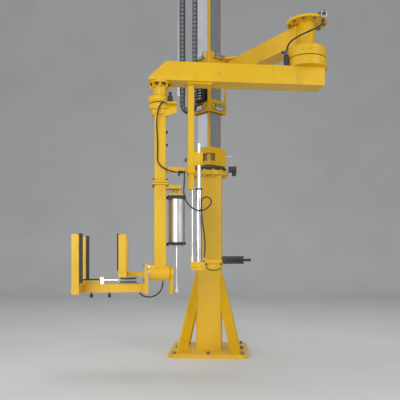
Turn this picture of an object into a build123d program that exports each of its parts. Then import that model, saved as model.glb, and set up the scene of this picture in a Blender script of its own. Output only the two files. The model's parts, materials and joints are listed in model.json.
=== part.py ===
from build123d import *
import math
import os

# Floor-mounted column manipulator: a welded pedestal carries a square steel mast,
# a carriage climbs the mast, two folding arms swing out from the carriage, and the
# outer arm carries a drop tube with a tilting clamp and a height-adjustable handle.
# Millimetres. Origin on the floor under the middle of the base plate, +Z up,
# +Y away from the operator's side.

# Pedestal
plate_side = 900.0
plate_thick = 40.0
plate_corner = 60.0
anchor_pitch = 760.0
anchor_hole_r = 14.0
column_side = 300.0
column_wall = 12.0
column_round = 20.0
column_length = 2025.0
gusset_thick = 25.0
gusset_top = 890.0
gusset_crotch = 530.0
gusset_foot_in = 149.0
gusset_foot_out = 283.0
flange_r = 220.0
flange_thick = 25.0
flange_bolts = 12
flange_bolt_r = 11.0

# Mast
mast_side = 200.0
mast_wall = 10.0
mast_round = 12.0
mast_length = 2490.0
strip_width = 164.0
strip_thick = 6.0
ring_height = 45.0
ring_outer_r = 200.0
collar_gap = 20.0
collar_height = 210.0
collar_wall = 36.0
collar_window_wide = 140.0
collar_window_high = 90.0
cap_thick = 12.0
cap_overhang = 15.0

# Carriage
sleeve_side = 290.0
sleeve_wall = 12.0
sleeve_bottom = 2800.0
sleeve_height = 690.0
sleeve_window_wide = 226.0
sleeve_window_low = 140.0
sleeve_window_high = 410.0
valve_plate_thick = 5.0
valve_plate_lap = 30.0
valve_plate_high = 160.0
valve_deep = 24.0
valve_count = 6
valve_reach = 52.0
valve_half = 15.0
valve_gap = 3.0
roller_r = 35.0
roller_length = 120.0
roller_gap = 0.5
axle_r = 12.0
axle_length = 176.0
block_thick = 20.0
block_side = 56.0
roller_low = 60.0
roller_high = 650.0

# Shoulder
shoulder_x = 312.0
shoulder_y = 20.0
shoulder_hub_r = 100.0
lug_thick = 25.0
lug_gap = 6.0
shoulder_pin_r = 40.0
pin_fit = 0.3
pin_head_r = 60.0
pin_head_thick = 18.0

# Upper arm
upper_angle = -53.17
upper_length = 1164.0
upper_bottom = 3238.0
upper_high = 190.0
upper_wide = 190.0
arm_wall = 8.0
elbow_drum_r = 194.0
elbow_drum_high = 102.0
elbow_drum_wall = 14.0
elbow_neck_r = 84.0
elbow_neck_rise = 12.0
elbow_disc_r = 200.0
elbow_disc_thick = 24.0
elbow_disc_bolts = 10
elbow_disc_bolt_r = 8.0

# Forearm
fore_angle = 189.16
fore_length = 1463.7
boom_bottom = 2805.0
boom_high = 180.0
boom_wide = 210.0
elbow_ring_r = 200.0
elbow_ring_high = 91.0
elbow_ring_wall = 30.0
spindle_r = 60.0
elbow_end = 150.0
elbow_gap = 6.0
nose_reach = 110.0
nose_slope = 165.0
nose_step = 22.0

# Drop column
housing_r = 68.0
housing_high = 138.0
housing_plate_r = 108.0
housing_plate_thick = 18.0
housing_ribs = 8
neck_bore_r = 67.0
neck_seat = 30.0
housing_rib_thick = 10.0
housing_rib_high = 40.0
swivel_ring_r = 116.0
swivel_ring_high = 66.0
swivel_ring_chamfer = 14.0
lower_ring_r = 106.0
lower_ring_high = 52.0
lower_collar_r = 88.0
lower_collar_high = 50.0
ring_gap = 12.0
drop_side = 110.0
drop_wall = 8.0
drop_round = 10.0
swivel_top = 1853.0
swivel_plate_side = 156.0
swivel_plate_thick = 18.0
swivel_gap = 5.0
drop_bottom = 1040.0
drop_low_side = 116.0

# Tilting hub
hub_z = 965.0
hub_r = 78.0
hub_bore_r = 40.0
hub_left = 98.0
hub_right = 90.0
hub_gap = 5.0
hub_disc_r = 74.0
tool_plate_thick = 35.0
tool_plate_half = 88.0
lever_thick = 30.0
lever_hub_r = 62.0
lever_length = 195.0
lever_angle = 70.0
lever_end_r = 34.0
lever_pin_r = 11.0
lever_pin_length = 27.0

# Tilt cylinder
cylinder_x = 166.0
cylinder_r = 82.0
barrel_wall = 5.0
cap_side = 168.0
cap_top_z = 1717.0
cap_high = 34.0
barrel_bottom_z = 1261.0
cap_low_high = 29.0
tilt_rod_r = 9.0
rod_end_r = 22.0
rod_end_thick = 24.0
piston_high = 26.0
arm_head_thick = 34.0
arm_plate_thick = 12.0
arm_half_wide = 45.0
arm_post_half = 30.0

# Clamp
jaw_lateral = 280.0
jaw_fixed_x = 350.0
jaw_moving_x = 770.0
upright_side = 70.0
upright_wall = 5.0
upright_top = 1322.0
pad_thick = 26.0
pad_wide = 60.0
fixed_base_top = 972.0
fixed_base_thick = 40.0
beam_side = 80.0
beam_bottom = 777.0
beam_wall = 6.0
foot_block_near = 579.0
foot_block_far = 785.0
foot_block_half = 34.0
foot_block_high = 36.0
foot_hole_r = 9.0
foot_hole_x = 662.0
pad_tab = 14.0
jaw_cylinder_r = 26.0
jaw_cylinder_z = 892.0
jaw_cap_side = 60.0
jaw_barrel_near = 213.0
jaw_barrel_far = 401.0
jaw_cap_thick = 15.0
jaw_rod_r = 9.0
jaw_rod_bracket = 538.0
jaw_rod_bracket_thick = 34.0
jaw_rod_bracket_half = 30.0
hub_plate_thick = 12.0

# Control handle
post_x = 300.0
post_side = 60.0
post_wall = 4.0
post_bottom = 1772.0
post_plate_thick = 15.0
link_z = 1964.0
link_high = 52.0
link_thick = 24.0
clamp_high = 84.0
clamp_wall = 8.0
guide_x = 379.0
guide_rod_r = 21.0
guide_rod_top = 2224.0
slide_tube_r = 32.0
slide_tube_top = 1770.0
slide_tube_bottom = 1067.0
slide_cap_high = 16.0
slide_fit = 0.5
lock_rod_x = 315.0
lock_rod_r = 6.0
lock_rod_top = 2032.0
lock_rod_foot_r = 13.0
lock_rod_foot_high = 60.0
handle_z = 1086.0
grip_r = 19.0
grip_long = 160.0
grip_stub = 66.0
grip_stub_r = 13.0
switch_long = 50.0
switch_half = 38.0
guard_long = 165.0
guard_half = 12.0
guard_thick = 16.0
bracket_near = 60.0
bracket_far = 82.0
bracket_high = 80.0
bracket_half = 32.0
bracket_arm = 170.0
bracket_arm_half = 20.0

# Energy chain
chain_y = -270.0
chain_left_x = -295.0
chain_right_x = -155.0
chain_high = 50.0
chain_wide = 80.0
chain_pitch = 46.0
chain_plate = 8.0
chain_bar_long = 22.0
chain_bar_thick = 5.0
chain_bar_inset = 1.5
chain_bottom = 2747.0
channel_wall = 4.0
channel_bottom = 2960.0

# Supply unit beside the mast's foot
supply_gap = 4.0
supply_long = 116.0
supply_foot = 40.0
supply_foot_thick = 6.0
supply_wide = 84.0
supply_high = 58.0
supply_bowl_r = 24.0
supply_bowl_high = 40.0

# Hose fittings
hose_r = 6.5
arm_hose_r = 8.0
switch_hose_r = 4.5
port_gap = 0.3
union_x = -92.0
union_y = 128.0
union_r = 24.0
union_bottom = 2583.0
union_high = 57.0
union_knob_r = 15.0
union_knob_high = 42.0
shelf_near = 56.0
shelf_far = 154.0
shelf_out = 158.0
shelf_in = 62.0
gusset_in = 30.0
gusset_drop = (66.0, 109.0)
shelf_thick = 12.0
gusset_near = 60.0
gusset_plate = 8.0
tee_x0 = -236.0
tee_x1 = -172.0
tee_y = 30.0
tee_z = 1940.0
tee_r = 13.0
tee_branch_x = -228.0
tee_stub_x = -182.0
tee_stub_low = 1899.0
gland_along = 225.0
gland_across = 62.0
gland_r = 26.0
gland_top = 3095.0
disc_port_r = 230.0
disc_port_z = 3450.0
hub_gland_r = 8.0
hub_gland_right = 30.0
hub_gland_turn = 40.0
hub_gland_long = 14.0
jaw_port_x = 220.5
jaw_port_y = -62.0
jaw_port_z = 886.0
jaw_port_low = 868.0
bracket_port_x = -428.0
bracket_port_y = 20.0
bracket_port_high = 14.0
switch_port_x = (-447.0, -592.0)
switch_port_y = 48.0
switch_port_z = 1050.0

# Hose routes, point by point: drop tube hoses from the drop column's axis, the elbow
# hose from the elbow's axis with the room's own directions, and heights from the floor
tube_hose_route = [
    (-64, 128, 2594), (-34, 128, 2594), (-8, 127, 2574), (12, 124, 2540), (25, 118, 2496), (34, 106, 2436),
    (36, 90, 2370), (30, 76, 2280), (24, 70, 2180), (27, 71, 2098), (29, 74, 2050), (16, 75, 2010),
    (-16, 74, 1977), (-62, 69, 1955), (-107, 51, 1944), (-144, 30, 1940), (-172, 30, 1940)]
handle_hose_route = [
    (-228, 56, 1940), (-228, 88, 1940), (-228, 116, 1920), (-228, 126, 1882), (-226, 116, 1810),
    (-221, 104, 1728), (-238, 98, 1664), (-275, 92, 1610), (-322, 86, 1575), (-380, 81, 1561),
    (-432, 77, 1572), (-468, 73, 1603), (-493, 69, 1631), (-493, 65, 1670), (-466, 61, 1697),
    (-427, 57, 1697), (-400, 53, 1669), (-398, 50, 1612), (-403, 48, 1520), (-418, 45, 1400),
    (-435, 38, 1270), (-436, 28, 1170), (-428, 20, 1110), (-428, 20, 1081)]
clamp_hose_route = [
    (-30, -59, 894.5), (-30, -81.5, 867.7), (-27, -92, 830), (-10, -92, 782), (28, -86, 742), (82, -76, 722),
    (135, -68, 722), (180, -64, 742), (208, -63, 782), (219, -62, 828), (220.5, -62, 868)]
elbow_hose_route = [
    (-212, -97, 3095), (-212, -97, 3143), (-201, -118, 3186), (-173, -165, 3217), (-95, -223, 3244),
    (0, -245, 3276), (85, -227, 3318), (130, -194, 3372), (138, -184, 3416), (138, -184, 3450)]
switch_hose_route = [
    (-447, 48, 1036), (-447, 48, 1016), (-460, 49, 998), (-486, 50, 988), (-520, 50, 985), (-554, 50, 989),
    (-580, 49, 1000), (-592, 48, 1017), (-592, 48, 1036)]

# Worked-out heights and places
column_top = plate_thick + column_length
mast_base = column_top + 2 * flange_thick
mast_top = mast_base + mast_length
strip_face = mast_side / 2 + strip_thick
collar_bottom = mast_base + ring_height + collar_gap
sleeve_top = sleeve_bottom + sleeve_height
upper_top = upper_bottom + upper_high
boom_top = boom_bottom + boom_high
ring_top = boom_top + elbow_ring_high
elbow_x = shoulder_x + upper_length * math.cos(math.radians(upper_angle))
elbow_y = shoulder_y + upper_length * math.sin(math.radians(upper_angle))
housing_bottom = boom_bottom - housing_high
swivel_ring_bottom = housing_bottom - swivel_ring_high
drop_top = swivel_ring_bottom - ring_gap
lower_ring_bottom = drop_top - lower_ring_high
swivel_low_top = swivel_top - 2 * swivel_plate_thick - swivel_gap

nodes = {}


def at_mast(solid):
    """Turns a piece drawn square to the axes onto the mast, whose corner faces the operator."""
    return Rot(0, 0, 45) * solid


def at_upper(solid):
    """Places a piece drawn along +X from the shoulder axis onto the upper arm."""
    return Pos(shoulder_x, shoulder_y, 0) * Rot(0, 0, upper_angle) * solid


def at_fore(solid):
    """Places a piece drawn along +X from the elbow axis onto the forearm."""
    return Pos(elbow_x, elbow_y, 0) * Rot(0, 0, fore_angle) * solid


def at_wrist(solid):
    """Places a piece drawn about the drop column, +X outward along the forearm."""
    return at_fore(Pos(fore_length, 0, 0) * solid)


def block(x0, x1, y0, y1, z0, z1):
    """A box between two corners."""
    return Pos((x0 + x1) / 2, (y0 + y1) / 2, (z0 + z1) / 2) * Box(x1 - x0, y1 - y0, z1 - z0)


def rod(radius, z0, z1, x=0.0, y=0.0):
    """A round bar standing up between two heights."""
    return Pos(x, y, (z0 + z1) / 2) * Cylinder(radius, z1 - z0)


def rod_x(radius, x0, x1, y=0.0, z=0.0):
    """A round bar lying along X."""
    return Pos((x0 + x1) / 2, y, z) * Rot(0, 90, 0) * Cylinder(radius, x1 - x0)


def rod_y(radius, y0, y1, x=0.0, z=0.0):
    """A round bar lying along Y."""
    return Pos(x, (y0 + y1) / 2, z) * Rot(90, 0, 0) * Cylinder(radius, y1 - y0)


def square_bar(side, corner, z0, z1):
    """A square bar with rounded edges standing up between two heights."""
    return Pos(0, 0, z0) * extrude(RectangleRounded(side, side, corner), z1 - z0)


def square_tube(side, wall, corner, z0, z1):
    """A square hollow section standing up between two heights."""
    inner = max(corner - wall, 2.0)
    return square_bar(side, corner, z0, z1) - square_bar(side - 2 * wall, inner, z0 - 1, z1 + 1)


def box_tube_x(x0, x1, y0, y1, z0, z1, wall):
    """A rectangular hollow section lying along X, open at both ends."""
    return block(x0, x1, y0, y1, z0, z1) - block(x0 - 1, x1 + 1, y0 + wall, y1 - wall, z0 + wall, z1 - wall)


def at_elbow(solid):
    """Places a piece drawn about the elbow axis with the room's own directions."""
    return Pos(elbow_x, elbow_y, 0) * solid


def make_hose(name, radius, route):
    """A hose along straight runs joined by arcs as large as the runs allow."""
    points = [Vector(*point) for point in route]
    points[0] += (points[1] - points[0]).normalized() * port_gap
    points[-1] -= (points[-1] - points[-2]).normalized() * port_gap
    runs = [end - start for start, end in zip(points, points[1:])]
    radii = []
    for before, after in zip(runs, runs[1:]):
        half_turn = math.radians(before.get_angle(after)) / 2
        radii.append(0.45 * min(before.length, after.length) / math.tan(half_turn))
    path = FilletPolyline(*points, radius=radii)
    section = Plane(origin=path @ 0, z_dir=path % 0) * Circle(radius)
    tube = sweep(section, path=path)
    filled = tube.volume / (math.pi * radius * radius * path.length)
    print(f"{name}: length {path.length:.0f} mm, filled {filled:.4f}, radii", [round(r) for r in radii])
    return tube


def ring_of(count, radius, solid):
    """Copies of a piece spread evenly round the Z axis."""
    return [Rot(0, 0, 360.0 / count * n) * Pos(radius, 0, 0) * solid for n in range(count)]


# Pedestal

def make_base_plate():
    plate = Pos(0, 0, plate_thick / 2) * Box(plate_side, plate_side, plate_thick)
    plate = chamfer(plate.edges().filter_by(Axis.Z), plate_corner)
    half = anchor_pitch / 2
    for x in (-half, 0, half):
        for y in (-half, 0, half):
            if x or y:
                plate -= rod(anchor_hole_r, -1, plate_thick + 1, x, y)
    return plate


def make_column():
    return square_tube(column_side, column_wall, column_round, plate_thick, column_top)


def make_gussets():
    """Four leaning leg plates on the column's diagonals, notched to fit its corners."""
    corner = column_side / 2 * math.sqrt(2)
    outline = Polyline(
        (corner - 30, plate_thick), (corner + gusset_foot_in, plate_thick),
        (corner + gusset_foot_out, plate_thick), (corner + gusset_foot_out, plate_thick + 20),
        (corner + 8, gusset_top), (corner - 30, gusset_top), close=True)
    window = Polyline(
        (corner - 30, plate_thick - 1), (corner + gusset_foot_in, plate_thick - 1),
        (corner - 8, gusset_crotch), (corner - 30, gusset_crotch), close=True)
    plane = Plane.XZ
    leg = extrude(plane * make_face(outline), gusset_thick / 2, both=True)
    leg -= extrude(plane * make_face(window), gusset_thick, both=True)
    bar = square_bar(column_side, column_round, 0, column_top)
    return Compound(children=[Rot(0, 0, 45 + 90 * n) * leg - bar for n in range(4)])


def make_flange(z0):
    disc = rod(flange_r, z0, z0 + flange_thick)
    hole = rod(flange_bolt_r, z0 - 1, z0 + flange_thick + 1)
    for cut in ring_of(flange_bolts, flange_r - 28, hole):
        disc -= Rot(0, 0, 180 / flange_bolts) * cut
    return disc


# Mast

def make_mast_tube():
    return at_mast(square_tube(mast_side, mast_wall, mast_round, mast_base, mast_top))


def make_wear_strips():
    strip = block(mast_side / 2, strip_face, -strip_width / 2, strip_width / 2, mast_base, mast_top - 30)
    return Compound(children=[at_mast(Rot(0, 0, 90 * n) * strip) for n in range(4)])


def make_buffer_ring():
    ring = rod(ring_outer_r, mast_base, mast_base + ring_height)
    ring = chamfer(ring.edges().filter_by(GeomType.CIRCLE), 10)
    half = strip_face + 2
    return ring - at_mast(block(-half, half, -half, half, mast_base - 1, mast_base + ring_height + 1))


def make_collar():
    outer = 2 * strip_face + 2 * collar_wall
    top = collar_bottom + collar_height
    body = square_bar(outer, 8.0, collar_bottom, top)
    body -= block(-strip_face, strip_face, -strip_face, strip_face, collar_bottom - 1, top + 1)
    body = at_mast(body)
    window_z = collar_bottom + collar_height * 0.45
    half_w = collar_window_wide / 2
    half_h = collar_window_high / 2
    for sign in (-1, 1):
        near = mast_side / 2 * math.sqrt(2) - 60
        far = outer
        y0, y1 = sorted((sign * near, sign * far))
        body -= block(-half_w, half_w, y0, y1, window_z - half_h, window_z + half_h)
    return body


def make_mast_cap():
    side = mast_side + 2 * cap_overhang
    cap = at_mast(square_bar(side, 8.0, mast_top, mast_top + cap_thick))
    arm = block(chain_left_x - 75, 40, chain_y - chain_wide / 2 - 10, chain_y + chain_wide / 2 + 10,
                mast_top, mast_top + cap_thick)
    reach = block(-60, 40, chain_y, 0, mast_top, mast_top + cap_thick)
    return cap + arm + reach


# Energy chain

def chain_bend():
    """Radius and middle of the chain's bend, at mid-height of the links."""
    bend_r = (chain_right_x - chain_left_x) / 2
    return bend_r, (chain_right_x + chain_left_x) / 2, chain_bottom + bend_r + chain_high / 2


def chain_links():
    """Middle, height and lean of each link: down the left strand, round the bend, up the right."""
    bend_r, centre_x, centre_z = chain_bend()
    run = mast_top - centre_z
    count = round(run / chain_pitch)
    heights = [centre_z + run * (n + 0.5) / count for n in range(count)]
    links = [(chain_left_x, z, 0.0) for z in heights] + [(chain_right_x, z, 180.0) for z in heights]
    steps = round(math.pi * bend_r / chain_pitch)
    for n in range(steps):
        turn = 180.0 * (n + 0.5) / steps
        x = centre_x - bend_r * math.cos(math.radians(turn))
        z = centre_z - bend_r * math.sin(math.radians(turn))
        links.append((x, z, -turn))
    return links


def make_energy_chain():
    """A hanging U of links: two side plates joined by cross bars on both faces of each link."""
    bend_r, centre_x, centre_z = chain_bend()
    half = chain_high / 2
    near = chain_y - chain_wide / 2
    bend = rod_y(bend_r + half, near, near + chain_wide, centre_x, centre_z)
    bend -= rod_y(bend_r - half, near - 1, near + chain_wide + 1, centre_x, centre_z)
    bend -= block(chain_left_x - chain_high, chain_right_x + chain_high, near - 1, near + chain_wide + 1,
                  centre_z, centre_z + bend_r + chain_high)
    band = block(chain_left_x - half, chain_left_x + half, near, near + chain_wide, centre_z, mast_top)
    band += block(chain_right_x - half, chain_right_x + half, near, near + chain_wide, centre_z, mast_top)
    band += bend
    band -= block(chain_left_x - chain_high, chain_right_x + chain_high, near + chain_plate,
                  near + chain_wide - chain_plate, chain_bottom - 1, mast_top + 1)
    bars = []
    reach = half - chain_bar_inset - chain_bar_thick / 2
    bar = Box(chain_bar_thick, chain_wide - chain_plate, chain_bar_long)
    for x, z, lean in chain_links():
        for side in (-reach, reach):
            bars.append(Pos(x, chain_y, z) * Rot(0, lean, 0) * Pos(side, 0, 0) * bar)
    return band.fuse(*bars)


def make_chain_channel():
    """A folded guide channel behind the left strand, hung from the mast cap."""
    x0 = chain_left_x - chain_high / 2 - 4
    x1 = chain_left_x + chain_high / 2 + 4
    y0 = chain_y - chain_wide / 2 - 2
    y1 = chain_y + chain_wide / 2 + 4
    back = block(x0 - 34, x1, y1, y1 + channel_wall, channel_bottom, mast_top)
    side = block(x0 - channel_wall, x0, y0, y1, channel_bottom, mast_top)
    return back + side


# Carriage

def make_carriage_frame():
    sleeve = square_tube(sleeve_side, sleeve_wall, 8.0, sleeve_bottom, sleeve_top)
    half = sleeve_side / 2
    window = block(half - 40, half + 20, -sleeve_window_wide / 2, sleeve_window_wide / 2, 0, sleeve_window_high)
    window = Pos(0, 0, sleeve_bottom + sleeve_window_low) * window
    for n in range(4):
        turn = Rot(0, 0, 90 * n)
        sleeve -= turn * window
        for height in (roller_low, roller_high):
            z = sleeve_bottom + height
            room = roller_r + 6
            sleeve -= turn * block(half - 40, half + 20, -roller_length / 2 - 6, roller_length / 2 + 6,
                                   max(z - room, sleeve_bottom - 5), min(z + room, sleeve_top + 5))
            perp = strip_face + roller_gap + roller_r
            for side in (-1, 1):
                y = side * (roller_length / 2 + 8 + block_thick / 2)
                cheek = block(half, half + 26, y - block_thick / 2, y + block_thick / 2,
                              z - block_side / 2, z + block_side / 2)
                sleeve += turn * cheek
                sleeve -= turn * rod_y(axle_r + pin_fit, y - block_thick, y + block_thick, perp, z)
    return at_mast(sleeve)


def make_guide_rollers():
    """Eight rollers on their axles, two on each face of the mast."""
    perp = strip_face + roller_gap + roller_r
    pieces = []
    for n in range(4):
        for height in (roller_low, roller_high):
            z = sleeve_bottom + height
            roller = rod_y(roller_r, -roller_length / 2, roller_length / 2, perp, z)
            roller += rod_y(axle_r, -axle_length / 2, axle_length / 2, perp, z)
            pieces.append(at_mast(Rot(0, 0, 90 * n) * roller))
    return Compound(children=pieces)


def make_shoulder_bracket():
    """Two lug plates on the sleeve's right corner, joined by a web, with the hinge pin."""
    low_top = upper_bottom - lug_gap
    high_bottom = upper_top + lug_gap
    body = None
    for z0 in (low_top - lug_thick, high_bottom):
        lug = rod(shoulder_hub_r, z0, z0 + lug_thick, shoulder_x, shoulder_y)
        outline = Polyline((150, -52), (shoulder_x - 5, shoulder_y - shoulder_hub_r),
                           (shoulder_x - 5, shoulder_y + shoulder_hub_r), (150, 92), close=True)
        lug += Pos(0, 0, z0) * extrude(make_face(outline), lug_thick)
        lug -= at_mast(square_bar(sleeve_side, 8.0, z0 - 1, z0 + lug_thick + 1))
        reach = sleeve_side / 2 + 40
        for turn in (-45, 45):
            lug -= Rot(0, 0, turn) * block(0, reach, -96, 96, z0 - 1, z0 + lug_thick + 1)
        lug -= rod(shoulder_pin_r + pin_fit, z0 - 1, z0 + lug_thick + 1, shoulder_x, shoulder_y)
        body = lug if body is None else body + lug
    return body


def make_shoulder_pin():
    z0 = upper_bottom - lug_gap - lug_thick
    z1 = upper_top + lug_gap + lug_thick
    pin = rod(shoulder_pin_r, z0, z1, shoulder_x, shoulder_y)
    pin += rod(pin_head_r, z1, z1 + pin_head_thick, shoulder_x, shoulder_y)
    pin += rod(pin_head_r, z0 - pin_head_thick, z0, shoulder_x, shoulder_y)
    return pin


# Upper arm

def make_upper_beam():
    half = upper_wide / 2
    start = shoulder_hub_r - 20
    end = upper_length - elbow_neck_r + 30
    beam = box_tube_x(start, end, -half, half, upper_bottom, upper_top, arm_wall)
    beam -= rod(elbow_neck_r, upper_bottom - 1, upper_top + 1, upper_length)
    beam += rod(shoulder_hub_r, upper_bottom, upper_top)
    beam -= rod(shoulder_hub_r - arm_wall, upper_bottom + 2 * arm_wall, upper_top - 2 * arm_wall)
    beam -= rod(shoulder_pin_r + pin_fit, upper_bottom - 1, upper_top + 1)
    return at_upper(beam)


def make_elbow_hub():
    """The bearing drum under the upper arm's end, with a neck up to the bolted top disc."""
    z0 = ring_top + elbow_gap
    z1 = z0 + elbow_drum_high
    z2 = upper_top + elbow_neck_rise
    hub = rod(elbow_drum_r, z0, z1)
    hub = chamfer(hub.edges().filter_by(GeomType.CIRCLE).sort_by(Axis.Z)[-1], 8)
    hub -= rod(elbow_drum_r - elbow_drum_wall, z0 - 1, z1 - elbow_drum_wall)
    hub += rod(elbow_neck_r, z0, z2)
    disc = rod(elbow_disc_r, z2, z2 + elbow_disc_thick)
    hole = rod(elbow_disc_bolt_r, z2 - 1, z2 + elbow_disc_thick + 1)
    for cut in ring_of(elbow_disc_bolts, elbow_disc_r - 30, hole):
        disc -= cut
    hub += disc
    hub -= rod(spindle_r + pin_fit, z0 - 1, z2 - elbow_drum_wall)
    return Pos(elbow_x, elbow_y, 0) * hub


# Forearm

def make_boom():
    half = boom_wide / 2
    back = -elbow_end
    tip = fore_length + nose_reach
    body = block(back, tip, -half, half, boom_bottom, boom_top)
    low = boom_bottom + nose_step
    slope = Polyline((tip - nose_slope, boom_top + 1), (tip + 1, boom_top + 1), (tip + 1, low), (tip, low),
                     close=True)
    cut = extrude(Plane.XZ * make_face(slope), boom_wide, both=True)
    body -= cut
    inside = block(back + arm_wall, tip - nose_slope - 10, -half + arm_wall, half - arm_wall,
                   boom_bottom + arm_wall, boom_top - arm_wall)
    return at_fore(body - inside)


def make_elbow_ring():
    """The bearing seat bolted on the boom, with the spindle that the upper arm turns on."""
    ring = rod(elbow_ring_r, boom_top, ring_top)
    ring = chamfer(ring.edges().filter_by(GeomType.CIRCLE).sort_by(Axis.Z)[-1], 10)
    ring -= rod(elbow_ring_r - elbow_ring_wall, boom_top + elbow_ring_wall, ring_top + 1)
    ring += rod(spindle_r, boom_top, upper_top - elbow_neck_rise)
    ring = Pos(elbow_x, elbow_y, 0) * ring
    return ring


def make_nose_housing():
    """The flanged housing under the boom's nose, with gusset ribs and the hung swivel ring."""
    top = boom_bottom
    plate = rod(housing_plate_r, top - housing_plate_thick, top)
    body = plate + rod(housing_r, housing_bottom, top - housing_plate_thick)
    ring = rod(swivel_ring_r, swivel_ring_bottom, housing_bottom)
    body += chamfer(ring.edges().filter_by(GeomType.CIRCLE), swivel_ring_chamfer)
    span = housing_plate_r - housing_r
    rib = Box(span, housing_rib_thick, housing_rib_high)
    for copy in ring_of(housing_ribs, housing_r + span / 2 - housing_rib_thick / 2, rib):
        body += Pos(0, 0, top - housing_plate_thick - housing_rib_high / 2) * copy
    body -= rod(neck_bore_r, swivel_ring_bottom - 1, swivel_ring_bottom + neck_seat)
    return at_wrist(body)


def make_drop_upper():
    """The upper drop tube with its stepped collar, neck and lower flange plate."""
    tube = square_tube(drop_side, drop_wall, drop_round, swivel_top, lower_ring_bottom)
    neck = rod(drop_side / 2, lower_ring_bottom, swivel_ring_bottom + neck_seat)
    ring = rod(lower_ring_r, lower_ring_bottom, drop_top)
    ring += rod(lower_collar_r, lower_ring_bottom - lower_collar_high, lower_ring_bottom)
    ring -= square_bar(drop_side, drop_round, lower_ring_bottom - lower_collar_high - 1, lower_ring_bottom)
    plate = square_bar(swivel_plate_side, 12.0, swivel_top - swivel_plate_thick, swivel_top)
    shelf = block(-shelf_out, -shelf_in, shelf_near, shelf_far, union_bottom - shelf_thick, union_bottom)
    under = union_bottom - shelf_thick
    outline = Polyline((-gusset_in, under), (-shelf_out, under), (-shelf_out, under - gusset_drop[0]),
                       (-gusset_in, under - gusset_drop[1]), close=True)
    gusset = Pos(0, gusset_near + gusset_plate, 0) * extrude(Plane.XZ * make_face(outline), gusset_plate)
    return at_wrist(tube + neck + ring + plate + shelf + gusset)


def make_post():
    """The square post that hangs under the boom and guides the control handle."""
    top = boom_bottom - post_plate_thick
    tube = Pos(-post_x, 0, 0) * square_tube(post_side, post_wall, 5.0, post_bottom, top)
    plate = block(-post_x - 205, -post_x + 40, -70, 70, top, boom_bottom)
    return at_wrist(tube + plate + post_link())


def post_link():
    """The flat link from the drop tube to the post, with its clamp block."""
    z0 = link_z - link_high / 2
    z1 = link_z + link_high / 2
    gap = post_side / 2
    side = gap + clamp_wall
    link = block(-post_x + side, -drop_side / 2, -link_thick / 2, link_thick / 2, z0, z1)
    clamp = block(-post_x - side, -post_x + side, -side, side, -clamp_high / 2, clamp_high / 2)
    clamp = Pos(0, 0, link_z) * clamp
    clamp -= block(-post_x - gap, -post_x + gap, -gap, gap, post_bottom, boom_bottom)
    return link + clamp


def make_guide_rod():
    """The chrome guide rod held beside the post by two clamp arms."""
    bar = rod(guide_rod_r, slide_tube_bottom + 240, guide_rod_top, -guide_x)
    return at_wrist(bar)


def make_guide_clamp():
    z0 = link_z + clamp_high / 2 + 6
    z1 = z0 + 124
    gap = post_side / 2
    arm = block(-guide_x - guide_rod_r - 14, -post_x - gap, -gap, gap, z0, z1)
    arm -= rod(guide_rod_r, z0 - 1, z1 + 1, -guide_x)
    return at_wrist(arm)


# Control handle

def make_slide_tube():
    tube = rod(slide_tube_r, slide_tube_bottom, slide_tube_top, -guide_x)
    tube -= rod(guide_rod_r + slide_fit, slide_tube_bottom + 20, slide_tube_top + 1, -guide_x)
    return at_wrist(tube)


def make_slide_cap():
    cap = rod(slide_tube_r + 2, slide_tube_top, slide_tube_top + slide_cap_high, -guide_x)
    cap -= rod(guide_rod_r + slide_fit, slide_tube_top - 1, slide_tube_top + slide_cap_high + 1, -guide_x)
    return at_wrist(cap)


def make_handle_bracket():
    """The block under the slide tube, with the forked arm out to the switch body."""
    z1 = slide_tube_bottom
    x0 = -guide_x - bracket_near
    x1 = x0 - bracket_arm
    body = block(x0, -guide_x + bracket_far, -bracket_half, bracket_half, z1 - bracket_high, z1)
    body = chamfer(body.edges().filter_by(Axis.Y), 6)
    arm = block(x1, x0, -bracket_arm_half, bracket_arm_half, z1 - bracket_high + 20, z1 + 20)
    slot = block(x1 + 26, x0 - 24, -bracket_arm_half - 1, bracket_arm_half + 1, z1 - 26, z1 - 4)
    arm -= slot
    return at_wrist(body + arm)


def make_lock_rod():
    """The slim rod that runs up inside the post and follows the handle."""
    bar = rod(lock_rod_r, slide_tube_bottom, lock_rod_top, -lock_rod_x)
    bar += rod(lock_rod_foot_r, slide_tube_bottom, slide_tube_bottom + lock_rod_foot_high, -lock_rod_x)
    return at_wrist(bar)


def make_handle():
    """The operator's grip: switch body, grip bar, end stub and squeeze bars above and below."""
    x0 = -guide_x - bracket_near - bracket_arm
    x1 = x0 - switch_long
    body = block(x1, x0, -switch_half, switch_half, handle_z - switch_half, handle_z + switch_half)
    body = chamfer(body.edges().filter_by(Axis.X), 8)
    body += rod_x(grip_r, x1 - grip_long, x1, 0, handle_z)
    body += rod_x(grip_stub_r, x1 - grip_long - grip_stub, x1 - grip_long, 0, handle_z)
    for side in (-1, 1):
        z = handle_z + side * (grip_r + 3 + guard_thick / 2)
        body += block(x1 - guard_long, x1, -guard_half, guard_half, z - guard_thick / 2, z + guard_thick / 2)
    return at_wrist(body)


# Swivelling drop tube

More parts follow.
